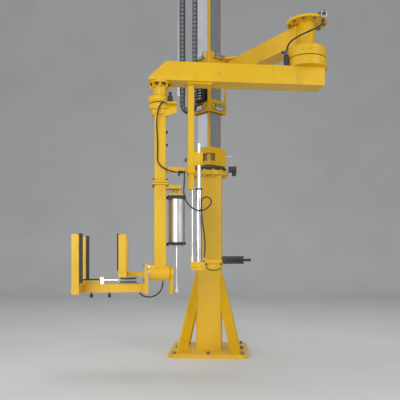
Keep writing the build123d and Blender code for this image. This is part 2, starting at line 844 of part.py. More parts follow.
def make_drop_lower():
    """The lower tube with its swivel plate on top and the tilt bearing across its foot."""
    z1 = swivel_top - swivel_plate_thick - swivel_gap
    plate = square_bar(swivel_plate_side, 12.0, z1 - swivel_plate_thick, z1)
    spigot = rod(drop_side / 2 - 12, z1, swivel_top - swivel_plate_thick - pin_fit)
    tube = square_tube(drop_low_side, drop_wall, drop_round, drop_bottom - 60, swivel_low_top)
    tube -= rod_x(hub_r, -200, 200, 0, hub_z)
    barrel = rod_x(hub_r, -hub_right, hub_left, 0, hub_z)
    gland = rod(hub_gland_r, -hub_r - hub_gland_long, -hub_r + drop_wall)
    gland = Pos(-hub_gland_right, 0, hub_z) * Rot(-hub_gland_turn, 0, 0) * gland
    body = plate + spigot + tube + barrel + gland
    return at_wrist(body - rod_x(hub_bore_r + pin_fit, -hub_right - 1, hub_left + 1, 0, hub_z))


def make_cylinder_arm():
    """The bracket that holds the tilt cylinder off the drop tube."""
    y = -lever_side()
    half = drop_low_side / 2
    z1 = swivel_low_top
    z0 = z1 - arm_head_thick
    top = block(-cylinder_x - 40, -half, y - arm_half_wide, arm_half_wide, z0, z1)
    half_post = arm_post_half
    post = block(-half_post, half_post, -half_post, half_post, cap_top_z + arm_plate_thick, z0)
    post = Pos(-cylinder_x, y, 0) * post
    half_plate = cap_side / 2
    plate = block(-half_plate, half_plate, -half_plate, half_plate, cap_top_z, cap_top_z + arm_plate_thick)
    plate = Pos(-cylinder_x, y, 0) * plate
    return at_wrist(top + post + plate)


def lever_side():
    """How far the lever's pin stands off the hub's axis, across the forearm, at rest."""
    return lever_length * math.cos(math.radians(lever_angle))


def make_tilt_barrel():
    y = -lever_side()
    z1 = cap_top_z - cap_high
    barrel = rod(cylinder_r, barrel_bottom_z, z1, -cylinder_x, y)
    return at_wrist(barrel - rod(cylinder_r - barrel_wall, barrel_bottom_z - 1, z1 + 1, -cylinder_x, y))


def make_tilt_caps():
    y = -lever_side()
    half = cap_side / 2
    x = -cylinder_x
    low_z = barrel_bottom_z - cap_low_high
    top = block(x - half, x + half, y - half, y + half, cap_top_z - cap_high, cap_top_z)
    low = block(x - half, x + half, y - half, y + half, low_z, barrel_bottom_z)
    low -= rod(tilt_rod_r + slide_fit, low_z - 1, barrel_bottom_z + 1, x, y)
    return Compound(children=[at_wrist(top), at_wrist(low)])


# Tilting head

def tool_x():
    return hub_left + hub_gap + hub_plate_thick


def make_tilt_shaft():
    shaft = rod_x(hub_bore_r, -hub_right - hub_gap - lever_thick, tool_x(), 0, hub_z)
    shaft += rod_x(hub_disc_r, hub_left + hub_gap, tool_x(), 0, hub_z)
    return at_wrist(shaft)


def make_tool_plate():
    """The plate bolted to the hub shaft, with the window that guides the sliding beam."""
    x0 = tool_x()
    x1 = x0 + tool_plate_thick
    half = tool_plate_half
    plate = block(x0, x1, -half, half, beam_bottom - 14, hub_z + half)
    play = slide_fit + beam_side / 2
    zc = beam_bottom + beam_side / 2
    plate -= block(x0 - 1, x1 + 1, -play, play, zc - play, zc + play)
    return at_wrist(plate)


def make_lever():
    """The crank at the far end of the hub shaft, pulled by the tilt cylinder."""
    x1 = -hub_right - hub_gap
    x0 = x1 - lever_thick
    pin_y = -lever_side()
    pin_z = hub_z - lever_length * math.sin(math.radians(lever_angle))
    big = rod_x(lever_hub_r, x0, x1, 0, hub_z)
    small = rod_x(lever_end_r, x0, x1, pin_y, pin_z)
    ay, az = pin_y / lever_length, (pin_z - hub_z) / lever_length
    ny, nz = -az, ay
    outline = Polyline(
        (lever_hub_r * ny, hub_z + lever_hub_r * nz), (-lever_hub_r * ny, hub_z - lever_hub_r * nz),
        (pin_y - lever_end_r * ny, pin_z - lever_end_r * nz),
        (pin_y + lever_end_r * ny, pin_z + lever_end_r * nz), close=True)
    web = Pos(x0, 0, 0) * extrude(Plane.YZ * make_face(outline), lever_thick)
    lever = big + small + web - rod_x(hub_bore_r, x0 - 1, x1 + 1, 0, hub_z)
    lever += rod_x(lever_pin_r, x0 - lever_pin_length, x0, pin_y, pin_z)
    return at_wrist(lever)


def make_upright(x, y, z0):
    """A square upright closed on top by a cap plate."""
    tube = square_tube(upright_side, upright_wall, 6.0, z0, upright_top - upright_wall)
    cap = square_bar(upright_side, 6.0, upright_top - upright_wall, upright_top)
    return Pos(x, y, 0) * (tube + cap)


def make_fixed_jaw():
    """The fixed jaw: two uprights on a cross plate, reached by an arm from the tool plate."""
    half = upright_side / 2
    z1 = fixed_base_top
    z0 = z1 - fixed_base_thick
    y = jaw_lateral
    body = block(jaw_fixed_x - half, jaw_fixed_x + half, -y - half, y + half, z0, z1)
    body += block(tool_x() + tool_plate_thick, jaw_fixed_x - half, -60, 60, z0, z1)
    for side in (-1, 1):
        body += make_upright(jaw_fixed_x, side * y, z1)
    return at_wrist(body)


def make_pad(x0, x1, y, z0, tab):
    """A pad strip on an upright's face, with a tab folded over the upright's top."""
    half = pad_wide / 2
    pad = block(x0, x1, y - half, y + half, z0, upright_top + 6)
    near, far = sorted((tab, tab + math.copysign(pad_tab, tab - (x0 + x1) / 2)))
    return pad + block(near, far, y - half, y + half, upright_top, upright_top + 6)


def make_fixed_pads():
    x0 = jaw_fixed_x + upright_side / 2
    x1 = x0 + pad_thick / 2
    pads = [at_wrist(make_pad(x0, x1, side * jaw_lateral, fixed_base_top + 20, x0)) for side in (-1, 1)]
    return Compound(children=pads)


def make_jaw_barrel():
    z = jaw_cylinder_z
    x0 = jaw_barrel_near
    x1 = jaw_barrel_far
    half = jaw_cap_side / 2
    body = rod_x(jaw_cylinder_r, x0, x1, 0, z)
    for x in (x0, x1 - jaw_cap_thick):
        body += block(x, x + jaw_cap_thick, -half, half, z - half, fixed_base_top - fixed_base_thick)
    body -= rod_x(jaw_rod_r + slide_fit, x0 + jaw_cap_thick, x1 + 1, 0, z)
    body += rod_y(jaw_cap_thick / 2, jaw_port_y, -half, jaw_port_x, jaw_port_z)
    body += rod(jaw_cap_thick / 2, jaw_port_low, jaw_port_z, jaw_port_x, jaw_port_y)
    return at_wrist(body)


# Moving jaw

def make_jaw_frame():
    """The L-shaped sliding frame: long beam, cross tube and two uprights."""
    half = upright_side / 2
    b = beam_side / 2
    z0 = beam_bottom
    z1 = beam_bottom + beam_side
    left = jaw_moving_x + half
    beam = box_tube_x(tool_x(), jaw_moving_x - half, -b, b, z0, z1, beam_wall)
    cross = block(jaw_moving_x - half, left, -jaw_lateral - half, jaw_lateral + half, z0, z1)
    inner = block(jaw_moving_x - half + beam_wall, left - beam_wall, -jaw_lateral - half + beam_wall,
                  jaw_lateral + half - beam_wall, z0 + beam_wall, z1 - beam_wall)
    body = beam + (cross - inner)
    for side in (-1, 1):
        body += make_upright(jaw_moving_x, side * jaw_lateral, z1)
    foot = block(foot_block_near, foot_block_far, -foot_block_half, foot_block_half, z1, z1 + foot_block_high)
    hole_z = z1 + foot_block_high / 2
    foot -= rod_y(foot_hole_r, -foot_block_half - 1, foot_block_half + 1, foot_hole_x, hole_z)
    return at_wrist(body + foot)


def make_moving_pads():
    x1 = jaw_moving_x - upright_side / 2
    z0 = beam_bottom + beam_side + 20
    pads = [at_wrist(make_pad(x1 - pad_thick, x1, side * jaw_lateral, z0, x1)) for side in (-1, 1)]
    return Compound(children=pads)


def make_jaw_rod():
    z = jaw_cylinder_z
    top = beam_bottom + beam_side
    x = jaw_rod_bracket
    half = jaw_rod_bracket_half
    bracket = block(x, x + jaw_rod_bracket_thick, -half, half, top, z + half)
    bar = rod_x(jaw_rod_r, jaw_barrel_far - 25, x, 0, z)
    return at_wrist(bracket + bar)


def make_tilt_rod():
    """The cylinder's rod with its eye end, beside the lever's pin."""
    y = -lever_side()
    pin_z = hub_z - lever_length * math.sin(math.radians(lever_angle))
    piston_z = barrel_bottom_z + slide_fit
    bar = rod(tilt_rod_r, pin_z, piston_z, -cylinder_x, y)
    bar += rod(cylinder_r - barrel_wall - slide_fit, piston_z, piston_z + piston_high, -cylinder_x, y)
    eye = rod_x(rod_end_r, -cylinder_x - rod_end_thick / 2, -cylinder_x + rod_end_thick / 2, y, pin_z)
    return at_wrist(bar + eye)


def make_supply_unit():
    """The air preparation unit on a bracket beside the mast's foot."""
    z = mast_base
    x0 = ring_outer_r + supply_gap
    bracket = block(x0, x0 + supply_long, -supply_foot / 2, supply_foot / 2, z, z + supply_foot_thick)
    x1 = x0 + supply_long
    bowl = rod(supply_bowl_r, z - supply_bowl_high, z, x1 - supply_bowl_r - 6)
    body = block(flange_r + supply_gap, x1, -supply_wide / 2, supply_wide / 2, z + supply_foot_thick,
                 z + supply_foot_thick + supply_high)
    return bracket + body + bowl


def make_valve_block():
    """The manifold on the carriage's left face, with a stack of valves on it."""
    half = sleeve_side / 2
    z0 = sleeve_bottom + sleeve_window_low - valve_plate_lap
    z1 = sleeve_bottom + sleeve_window_low + valve_plate_high
    wide = sleeve_window_wide / 2 + valve_plate_lap / 3
    face = half + valve_plate_thick + valve_deep
    body = block(half, half + valve_plate_thick, -wide, wide, z0, z1)
    body += block(half + valve_plate_thick, face, -wide + valve_plate_lap, wide - valve_plate_lap,
                  z0 + valve_gap, z1 - valve_gap)
    step = (z1 - z0 - 2 * valve_gap) / valve_count
    for n in range(valve_count):
        low = z0 + valve_gap + step * n
        body += block(face, face + valve_reach, valve_half - wide, wide - valve_half, low + valve_gap / 2,
                      low + step - valve_gap / 2)
    return at_mast(Rot(0, 0, 180) * body)


# Hoses and their fittings

def make_hose_fittings():
    """Rotary union beside the nose, tee on the link and gland post on the boom."""
    union_top = union_bottom + union_high
    union = rod(union_r, union_bottom, union_top, union_x, union_y)
    union += rod(union_knob_r, union_top, union_top + union_knob_high, union_x, union_y)
    start = tube_hose_route[0]
    union += rod_x(hose_r + 3, union_x, start[0], start[1], start[2])
    tee = rod_x(tee_r, tee_x0, tee_x1, tee_y, tee_z)
    half = tee_r - 2
    tee += block(tee_x0 + tee_r, tee_x1 - tee_r, link_thick / 2, tee_y, tee_z - half, tee_z + half)
    tee += rod_y(hose_r + 3, tee_y, handle_hose_route[0][1], tee_branch_x, tee_z)
    tee += rod(hose_r + 3, tee_stub_low, tee_z, tee_stub_x, tee_y)
    post = Pos(gland_along, gland_across, 0) * rod(gland_r, boom_top, gland_top)
    return Compound(children=[at_wrist(union), at_wrist(tee), at_fore(post)])


def make_elbow_fitting():
    """The fitting on the disc's edge that turns the elbow hose down over the rim."""
    disc_top = upper_top + elbow_neck_rise + elbow_disc_thick
    reach = arm_hose_r + 5
    body = block(elbow_disc_r - 34, disc_port_r + reach, -reach, reach, disc_top, disc_top + 2 * reach)
    body += rod(reach, disc_port_z, disc_top, disc_port_r)
    x, y = elbow_hose_route[-1][:2]
    return at_elbow(Rot(0, 0, math.degrees(math.atan2(y, x))) * body)


def make_handle_fittings():
    """Port on the bracket's top for the long hose, and two elbows for the switch's hose."""
    z = slide_tube_bottom
    pieces = [at_wrist(rod(hose_r + 3, z, z + bracket_port_high, bracket_port_x, bracket_port_y))]
    near = bracket_arm_half, switch_half
    reach = switch_hose_r + 3
    for x, y0, route_end in zip(switch_port_x, near, (switch_hose_route[0], switch_hose_route[-1])):
        port = rod_y(reach, y0, switch_port_y, x, switch_port_z)
        port += rod(reach, route_end[2], switch_port_z, x, switch_port_y)
        pieces.append(at_wrist(port))
    return Compound(children=pieces)


nodes["base_plate"] = make_base_plate()
nodes["column_tube"] = make_column()
nodes["column_gussets"] = make_gussets()
nodes["column_flange"] = make_flange(column_top)
nodes["mast_flange"] = make_flange(column_top + flange_thick)
nodes["mast_tube"] = make_mast_tube()
nodes["mast_wear_strips"] = make_wear_strips()
nodes["buffer_ring"] = make_buffer_ring()
nodes["mast_collar"] = make_collar()
nodes["mast_cap"] = make_mast_cap()
nodes["energy_chain"] = make_energy_chain()
nodes["chain_channel"] = make_chain_channel()
nodes["supply_unit"] = make_supply_unit()
nodes["carriage_frame"] = make_carriage_frame()
nodes["guide_rollers"] = make_guide_rollers()
nodes["shoulder_bracket"] = make_shoulder_bracket()
nodes["shoulder_pin"] = make_shoulder_pin()
nodes["valve_block"] = make_valve_block()
nodes["upper_arm_beam"] = make_upper_beam()
nodes["elbow_hub"] = make_elbow_hub()
nodes["forearm_boom"] = make_boom()
nodes["elbow_ring"] = make_elbow_ring()
nodes["nose_housing"] = make_nose_housing()
nodes["drop_tube_upper"] = make_drop_upper()
nodes["handle_post"] = make_post()
nodes["guide_rod"] = make_guide_rod()
nodes["guide_clamp"] = make_guide_clamp()
nodes["slide_tube"] = make_slide_tube()
nodes["slide_cap"] = make_slide_cap()
nodes["handle_bracket"] = make_handle_bracket()
nodes["lock_rod"] = make_lock_rod()
nodes["control_handle"] = make_handle()
nodes["drop_tube_lower"] = make_drop_lower()
nodes["cylinder_arm"] = make_cylinder_arm()
nodes["tilt_barrel"] = make_tilt_barrel()
nodes["tilt_caps"] = make_tilt_caps()
nodes["tilt_shaft"] = make_tilt_shaft()
nodes["tool_plate"] = make_tool_plate()
nodes["tilt_lever"] = make_lever()
nodes["fixed_jaw"] = make_fixed_jaw()
nodes["fixed_jaw_pads"] = make_fixed_pads()
nodes["jaw_barrel"] = make_jaw_barrel()
nodes["jaw_frame"] = make_jaw_frame()
nodes["moving_jaw_pads"] = make_moving_pads()
nodes["jaw_rod"] = make_jaw_rod()
nodes["tilt_rod"] = make_tilt_rod()
nodes["hose_fittings"] = make_hose_fittings()
nodes["elbow_fitting"] = make_elbow_fitting()
nodes["handle_fittings"] = make_handle_fittings()
nodes["tube_hose"] = at_wrist(make_hose("tube_hose", hose_r, tube_hose_route))
nodes["handle_hose"] = at_wrist(make_hose("handle_hose", hose_r, handle_hose_route))
nodes["clamp_hose"] = at_wrist(make_hose("clamp_hose", hose_r, clamp_hose_route))
nodes["elbow_hose"] = at_elbow(make_hose("elbow_hose", arm_hose_r, elbow_hose_route))
nodes["switch_hose"] = at_wrist(make_hose("switch_hose", switch_hose_r, switch_hose_route))

os.makedirs("parts", exist_ok=True)
for name, solid in nodes.items():
    export_step(solid, f"parts/{name}.step")
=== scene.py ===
"""Looks of the floor-mounted column manipulator: finishes, hoses, fasteners and light.

Metres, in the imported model's frame: origin on the floor under the base plate, +Z up,
+Y away from the operator.
"""

import json
import math

import bpy
import numpy as np
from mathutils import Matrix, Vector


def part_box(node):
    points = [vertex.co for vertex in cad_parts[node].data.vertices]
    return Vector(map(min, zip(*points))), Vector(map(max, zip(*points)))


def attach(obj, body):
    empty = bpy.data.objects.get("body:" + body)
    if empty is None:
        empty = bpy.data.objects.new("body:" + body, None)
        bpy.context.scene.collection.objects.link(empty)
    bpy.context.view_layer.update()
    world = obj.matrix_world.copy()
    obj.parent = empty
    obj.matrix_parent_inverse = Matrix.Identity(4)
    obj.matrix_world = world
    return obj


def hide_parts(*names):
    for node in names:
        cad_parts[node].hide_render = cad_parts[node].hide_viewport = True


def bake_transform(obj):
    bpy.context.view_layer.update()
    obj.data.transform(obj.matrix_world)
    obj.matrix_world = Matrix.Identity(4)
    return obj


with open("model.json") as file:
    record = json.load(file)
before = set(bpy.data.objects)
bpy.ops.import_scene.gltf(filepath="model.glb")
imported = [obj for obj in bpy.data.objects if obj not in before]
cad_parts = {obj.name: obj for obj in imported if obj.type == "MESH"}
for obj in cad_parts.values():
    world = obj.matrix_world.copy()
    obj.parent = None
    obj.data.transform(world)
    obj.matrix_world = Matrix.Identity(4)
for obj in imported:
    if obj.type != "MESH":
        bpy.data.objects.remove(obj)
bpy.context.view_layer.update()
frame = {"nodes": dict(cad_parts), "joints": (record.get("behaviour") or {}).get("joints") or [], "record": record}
nodes = frame["nodes"]
joints = {joint["name"]: joint for joint in frame["joints"]}

# Places that the arms are built from
MAST_TURN = math.radians(45.0)
SHOULDER = np.array(joints["shoulder"]["pos_m"])
ELBOW = np.array(joints["elbow"]["pos_m"])
WRIST = np.array(joints["wrist"]["pos_m"])
UPPER_TURN = math.atan2(*(ELBOW - SHOULDER)[1::-1])
FORE_TURN = math.atan2(*(WRIST - ELBOW)[1::-1])
UPPER_LENGTH = float(np.linalg.norm((ELBOW - SHOULDER)[:2]))
HUB_Z = joints["tilt"]["pos_m"][2]

UP, DOWN = (0.0, 0.0, 1.0), (0.0, 0.0, -1.0)
OUT, BACK = (1.0, 0.0, 0.0), (-1.0, 0.0, 0.0)
AWAY, TOWARD = (0.0, 1.0, 0.0), (0.0, -1.0, 0.0)


def in_wrist(points):
    """Points drawn about the drop column, +X outward along the forearm, put in the room."""
    return turned(points, FORE_TURN, (WRIST[0], WRIST[1], 0.0))


def in_upper(points):
    """Points drawn along +X from the shoulder axis put on the upper arm."""
    return turned(points, UPPER_TURN, (SHOULDER[0], SHOULDER[1], 0.0))


def in_elbow(points):
    """Points drawn about the elbow axis with the room's own directions."""
    return np.asarray(points, float) + np.array([ELBOW[0], ELBOW[1], 0.0])


def in_room(points):
    """Points drawn in the room's own frame, left as they are."""
    return np.asarray(points, float)


def on_face(shape, quarter):
    """A shape drawn square to the mast, put on one of its four faces."""
    return turned(shape[0], MAST_TURN + quarter * math.pi / 2), shape[1]


# Mesh tools

SHARP_ANGLE = math.radians(32)
ODD_WAY = (0.31, 0.52, 0.80)  # a direction that no tube starts along
BEAD_STEP = 0.004
BEAD_SIDES = 6


def mesh_piece(name, points, faces, body, material):
    """Makes one mesh object at the origin from points and faces, riding on a body if one is named."""
    mesh = bpy.data.meshes.new(name)
    mesh.from_pydata(np.asarray(points, float).tolist(), [], [list(map(int, face)) for face in faces])
    mesh.validate()
    mesh.update()
    mesh.shade_smooth()
    mesh.set_sharp_from_angle(angle=SHARP_ANGLE)
    mesh.materials.append(material)
    piece = bpy.data.objects.new(name, mesh)
    bpy.context.scene.collection.objects.link(piece)
    if body:
        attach(piece, body)
    return piece


def fitted(name, parts, place, body, material):
    """Joins shapes, puts them in the room with a placing function and makes them one piece."""
    points, faces = gathered(parts)
    return mesh_piece(name, place(points), faces, body, material)


def turned(points, angle, place=(0.0, 0.0, 0.0)):
    """Points turned about Z by an angle and then moved."""
    c, s = math.cos(angle), math.sin(angle)
    spin = np.array([[c, s, 0.0], [-s, c, 0.0], [0.0, 0.0, 1.0]])
    return np.asarray(points, float) @ spin + np.asarray(place, float)


def facing(points, axis):
    """Points drawn about +Z turned so that their Z axis points along an axis."""
    z = np.asarray(axis, float) / np.linalg.norm(axis)
    guide = UP if abs(z[2]) < 0.9 else OUT
    x = np.cross(guide, z)
    x /= np.linalg.norm(x)
    return np.asarray(points, float) @ np.array([x, np.cross(z, x), z])


def ring_faces(rings, around):
    """Quads between neighbouring rings of a turned or drawn-out surface."""
    rows, cols = np.meshgrid(np.arange(rings - 1), np.arange(around), indexing="ij")
    nxt = (cols + 1) % around
    return np.stack([rows * around + cols, rows * around + nxt, (rows + 1) * around + nxt,
                     (rows + 1) * around + cols], -1).reshape(-1, 4).tolist()


def capped(points, faces, around):
    """Closes the first and last ring with flat caps."""
    last = len(points) - around
    return points, faces + [list(range(around))[::-1], list(range(last, last + around))]


def lathe(profile, around):
    """A profile of (radius, height) carried round Z and capped: x = r cos t, y = r sin t, z = h."""
    r, h = np.asarray(profile, float).T
    t = np.linspace(0.0, 2 * math.pi, around, endpoint=False)
    points = np.stack([np.outer(r, np.cos(t)), np.outer(r, np.sin(t)), np.outer(h, np.ones(around))], -1)
    return capped(points.reshape(-1, 3), ring_faces(len(r), around), around)


def tube(points, radius, around):
    """A tube with closed ends along a line of points; the radius may differ from point to point."""
    points = np.asarray(points, float)
    along = np.gradient(points, axis=0)
    along /= np.linalg.norm(along, axis=1)[:, None]
    side = np.cross(along[0], ODD_WAY)
    t = np.linspace(0.0, 2 * math.pi, around, endpoint=False)
    rings = []
    for at, way, size in zip(points, along, np.broadcast_to(radius, len(points))):
        side = side - way * side.dot(way)
        side /= np.linalg.norm(side)
        rings.append(at + size * (np.outer(np.cos(t), side) + np.outer(np.sin(t), np.cross(way, side))))
    return capped(np.concatenate(rings), ring_faces(len(points), around), around)


def rippled(radius, count):
    """A weld bead's radius from point to point: r (1 + 0.1 sin 2.1 i)."""
    return radius * (1 + 0.10 * np.sin(np.arange(count) * 2.1))


def bead(corners, radius):
    """A weld bead with its ripples along straight runs between corners."""
    corners = np.asarray(corners, float)
    points = []
    for start, end in zip(corners, corners[1:]):
        count = max(2, int(np.linalg.norm(end - start) / BEAD_STEP))
        points.append(start + (end - start) * np.linspace(0.0, 1.0, count, endpoint=False)[:, None])
    points = np.concatenate(points + [corners[-1:]])
    return tube(points, rippled(radius, len(points)), BEAD_SIDES)


def ring_bead(centre, ring_radius, radius, axis=2):
    """A weld bead round a circle across an axis, with 1500 points for each metre of radius."""
    t = np.linspace(0.0, 2 * math.pi, max(24, int(ring_radius * 1500)))
    loop = np.zeros((len(t), 3))
    loop[:, (axis + 1) % 3] = np.cos(t) * ring_radius
    loop[:, (axis + 2) % 3] = np.sin(t) * ring_radius
    return tube(loop + np.asarray(centre, float), rippled(radius, len(t)), BEAD_SIDES)


def square_loop(half_x, half_y, z, place=(0.0, 0.0)):
    """The corners of a level rectangle, the first one again at the end."""
    x, y = place
    signs = ((-1, -1), (1, -1), (1, 1), (-1, 1), (-1, -1))
    return [(x + sx * half_x, y + sy * half_y, z) for sx, sy in signs]


def sleeve(at, way, profile, around=20):
    """A capped turned piece of (radius, distance) that starts at a point and runs along a direction."""
    points, faces = lathe(profile, around)
    return facing(points, way) + np.asarray(at, float), faces


def gathered(parts):
    """Joins several (points, faces) pairs into one."""
    points, faces, start = [], [], 0
    for part_points, part_faces in parts:
        points.append(np.asarray(part_points, float))
        faces += [[start + int(i) for i in face] for face in part_faces]
        start += len(part_points)
    return np.concatenate(points), faces


def corner_index(axis, signs):
    """Where soft_box keeps the corner with these signs on the face across an axis."""
    return axis * 8 + sum((4, 2, 1)[k] * (signs[k] > 0) for k in range(3))


def soft_box(low, high, edge=0.003):
    """A box whose twelve edges are cut back by a small flat, as three pairs of shrunken faces."""
    low, high = np.asarray(low, float), np.asarray(high, float)
    mid, half = (low + high) / 2, (high - low) / 2
    edge = min(edge, half.min() * 0.6)
    signs = np.array([[sx, sy, sz] for sx in (-1, 1) for sy in (-1, 1) for sz in (-1, 1)], float)
    points = np.concatenate([mid + signs * (half - edge * (1 - np.eye(3)[axis])) for axis in range(3)])
    faces = []
    for axis in range(3):
        u, v = (axis + 1) % 3, (axis + 2) % 3
        for side in (-1, 1):
            ring = [(side, -1, -1), (side, 1, -1), (side, 1, 1), (side, -1, 1)]
            loop = [corner_index(axis, {axis: a, u: b, v: c}) for a, b, c in ring]
            faces.append(loop if side > 0 else loop[::-1])
    for axis in range(3):
        u, v = (axis + 1) % 3, (axis + 2) % 3
        for su in (-1, 1):
            for sv in (-1, 1):
                ends = [{axis: -1, u: su, v: sv}, {axis: 1, u: su, v: sv}]
                loop = [corner_index(u, ends[0]), corner_index(u, ends[1]),
                        corner_index(v, ends[1]), corner_index(v, ends[0])]
                faces.append(loop if su * sv > 0 else loop[::-1])
    for corner in signs:
        at = {0: corner[0], 1: corner[1], 2: corner[2]}
        loop = [corner_index(axis, at) for axis in range(3)]
        faces.append(loop if corner.prod() > 0 else loop[::-1])
    return points, faces


def prism(plan, low, high):
    """A level outline, counter-clockwise from above, carried straight up between two heights."""
    plan = np.asarray(plan, float)
    n = len(plan)
    points = np.concatenate([np.column_stack([plan, np.full(n, z)]) for z in (low, high)])
    sides = [[i, (i + 1) % n, n + (i + 1) % n, n + i] for i in range(n)]
    return points, sides + [list(range(n))[::-1], list(range(n, 2 * n))]


def hex_bolt(radius, high):
    """A hexagon head with its chamfered top on a round washer, standing on z = 0."""
    base, rim = radius * 0.22, radius * 1.25
    washer = lathe([(rim, 0.0), (rim, base * 0.8), (radius * 1.18, base)], 20)
    head = lathe([(radius, base), (radius, base + high * 0.85), (radius * 0.86, base + high)], 6)
    return gathered([washer, head])


def socket_screw(radius, high):
    """A round screw head with a socket half as wide and half as deep, standing on z = 0."""
    return lathe([(radius, 0.0), (radius, high * 0.9), (radius * 0.92, high), (radius * 0.5, high),
                  (radius * 0.5, high * 0.5)], 18)


def spread(shape, places, axis=UP):
    """Copies of one shape at several places, its foot on each and its top along an axis."""
    points, faces = shape
    points = facing(points, axis)
    return gathered([(points + np.asarray(place, float), faces) for place in places])


# Shared shader groups. COLOUR_IN and COLOUR_OUT are the sockets that most of them have.

COLOUR_IN = ("Colour", "Color", (0.5, 0.5, 0.5, 1))
COLOUR_OUT = [("Colour", "Color"), ("Mask", "Float")]


def new_group(name, inputs, outputs):
    """Starts a shader group and gives its tree, its inputs and its outputs."""
    tree = bpy.data.node_groups.new(name, "ShaderNodeTree")
    for label, kind, value in inputs:
        socket = tree.interface.new_socket(label, in_out="INPUT", socket_type="NodeSocket" + kind)
        socket.default_value = value
    for label, kind in outputs:
        tree.interface.new_socket(label, in_out="OUTPUT", socket_type="NodeSocket" + kind)
    return tree, tree.nodes.new("NodeGroupInput").outputs, tree.nodes.new("NodeGroupOutput").inputs


def feed(tree, socket, value):
    """Links a socket to another one, or sets its value."""
    if isinstance(value, bpy.types.NodeSocket):
        tree.links.new(value, socket)
    else:
        socket.default_value = value


def add(tree, kind, settings=None, **values):
    """Adds a node with its settings, and feeds its inputs by name, or by number after an underscore."""
    node = tree.nodes.new("ShaderNode" + kind)
    for key, value in (settings or {}).items():
        setattr(node, key, value)
    for key, value in values.items():
        feed(tree, node.inputs[int(key[1:])] if key[0] == "_" else node.inputs[key.replace("_", " ")], value)
    return node


def object_noise(tree, scale, detail):
    """Noise on the piece's own coordinates."""
    place = add(tree, "TexCoord").outputs["Object"]
    return add(tree, "TexNoise", Vector=place, Scale=scale, Detail=detail).outputs[0]


def product(tree, a, b):
    """Two values multiplied."""
    return add(tree, "Math", {"operation": "MULTIPLY"}, _0=a, _1=b).outputs[0]


def stepped(tree, value, low, high, out_low=0.0, out_high=1.0):
    """A smooth step of a value between two limits."""
    return add(tree, "MapRange", {"interpolation_type": "SMOOTHSTEP"}, Value=value, From_Min=low,
               From_Max=high, To_Min=out_low, To_Max=out_high).outputs[0]


def mixed(tree, factor, a, b):
    """One colour mixed with another, through the colour sockets of a Mix node."""
    return add(tree, "Mix", {"data_type": "RGBA"}, _0=factor, _6=a, _7=b).outputs[2]


def build_cloudy_group():
    """Broad drift of one colour to a shade of it: a smooth step of noise, times Depth."""
    tree, given, out = new_group("cloudy colour", [
        COLOUR_IN, ("Shade", "Color", (0.3, 0.3, 0.3, 1)), ("Depth", "Float", 0.2),
        ("Scale", "Float", 3.0)], COLOUR_OUT)
    place = add(tree, "TexCoord").outputs["Object"]
    broad = add(tree, "TexNoise", Vector=place, Scale=given["Scale"], Detail=3.0).outputs[0]
    wide = stepped(tree, broad, 0.42, 0.68)
    amount = product(tree, wide, given["Depth"])
    tree.links.new(mixed(tree, amount, given["Colour"], given["Shade"]), out["Colour"])
    tree.links.new(wide, out["Mask"])
    return tree


def build_soil_group():
    """Grime in streaks that run down a piece: a smooth step of noise stretched along Z."""
    tree, given, out = new_group("grime", [
        COLOUR_IN, ("Grime", "Color", (0.1, 0.09, 0.07, 1)), ("Amount", "Float", 0.3),
        ("Scale", "Float", 8.0)], COLOUR_OUT)
    place = add(tree, "TexCoord").outputs["Object"]
    mapped = add(tree, "Mapping", _0=place, Scale=(1.0, 1.0, 0.22)).outputs[0]
    streak = add(tree, "TexNoise", Vector=mapped, Scale=given["Scale"], Detail=6.0,
                 Roughness=0.62).outputs[0]
    mask = stepped(tree, streak, 0.56, 0.80)
    amount = product(tree, mask, given["Amount"])
    tree.links.new(mixed(tree, amount, given["Colour"], given["Grime"]), out["Colour"])
    tree.links.new(mask, out["Mask"])
    return tree


def build_dust_group():
    """Pale dust on faces that look up: a smooth step of the normal's Z times one of fine noise."""
    tree, given, out = new_group("settled dust", [
        COLOUR_IN, ("Dust", "Color", (0.42, 0.38, 0.31, 1)), ("Amount", "Float", 0.3)], COLOUR_OUT)
    up = add(tree, "SeparateXYZ", _0=add(tree, "NewGeometry").outputs["Normal"]).outputs[2]
    level = stepped(tree, up, 0.55, 0.98)
    grain = stepped(tree, object_noise(tree, 26.0, 5.0), 0.30, 0.72)
    both = product(tree, level, grain)
    amount = product(tree, both, given["Amount"])
    tree.links.new(mixed(tree, amount, given["Colour"], given["Dust"]), out["Colour"])
    tree.links.new(both, out["Mask"])
    return tree


def build_brushed_group():
    """Fine lines along one direction: noise drawn out by the Stretch vector."""
    tree, given, out = new_group("brushed lines", [
        ("Stretch", "Vector", (1.0, 1.0, 0.02)), ("Scale", "Float", 300.0), ("Low", "Float", 0.22),
        ("High", "Float", 0.42)], [("Roughness", "Float"), ("Lines", "Float")])
    place = add(tree, "TexCoord").outputs["Object"]
    mapped = add(tree, "VectorMath", {"operation": "MULTIPLY"}, _0=place, _1=given["Stretch"]).outputs[0]
    lines = add(tree, "TexNoise", Vector=mapped, Scale=given["Scale"], Detail=2.0).outputs[0]
    rough = add(tree, "MapRange", Value=lines, From_Min=0.3, From_Max=0.7, To_Min=given["Low"],
                To_Max=given["High"]).outputs[0]
    tree.links.new(rough, out["Roughness"])
    tree.links.new(lines, out["Lines"])
    return tree


def build_chips_group():
    """Small chips and rubs through a coating: two noises multiplied and cut off sharply."""
    tree, given, out = new_group("chipped coat", [
        COLOUR_IN, ("Bare", "Color", (0.3, 0.3, 0.3, 1)), ("Amount", "Float", 0.5)], COLOUR_OUT)
    both = product(tree, object_noise(tree, 60.0, 6.0), object_noise(tree, 5.0, 2.0))
    mask = stepped(tree, both, 0.415, 0.435)
    amount = product(tree, mask, given["Amount"])
    tree.links.new(mixed(tree, amount, given["Colour"], given["Bare"]), out["Colour"])
    tree.links.new(amount, out["Mask"])
    return tree


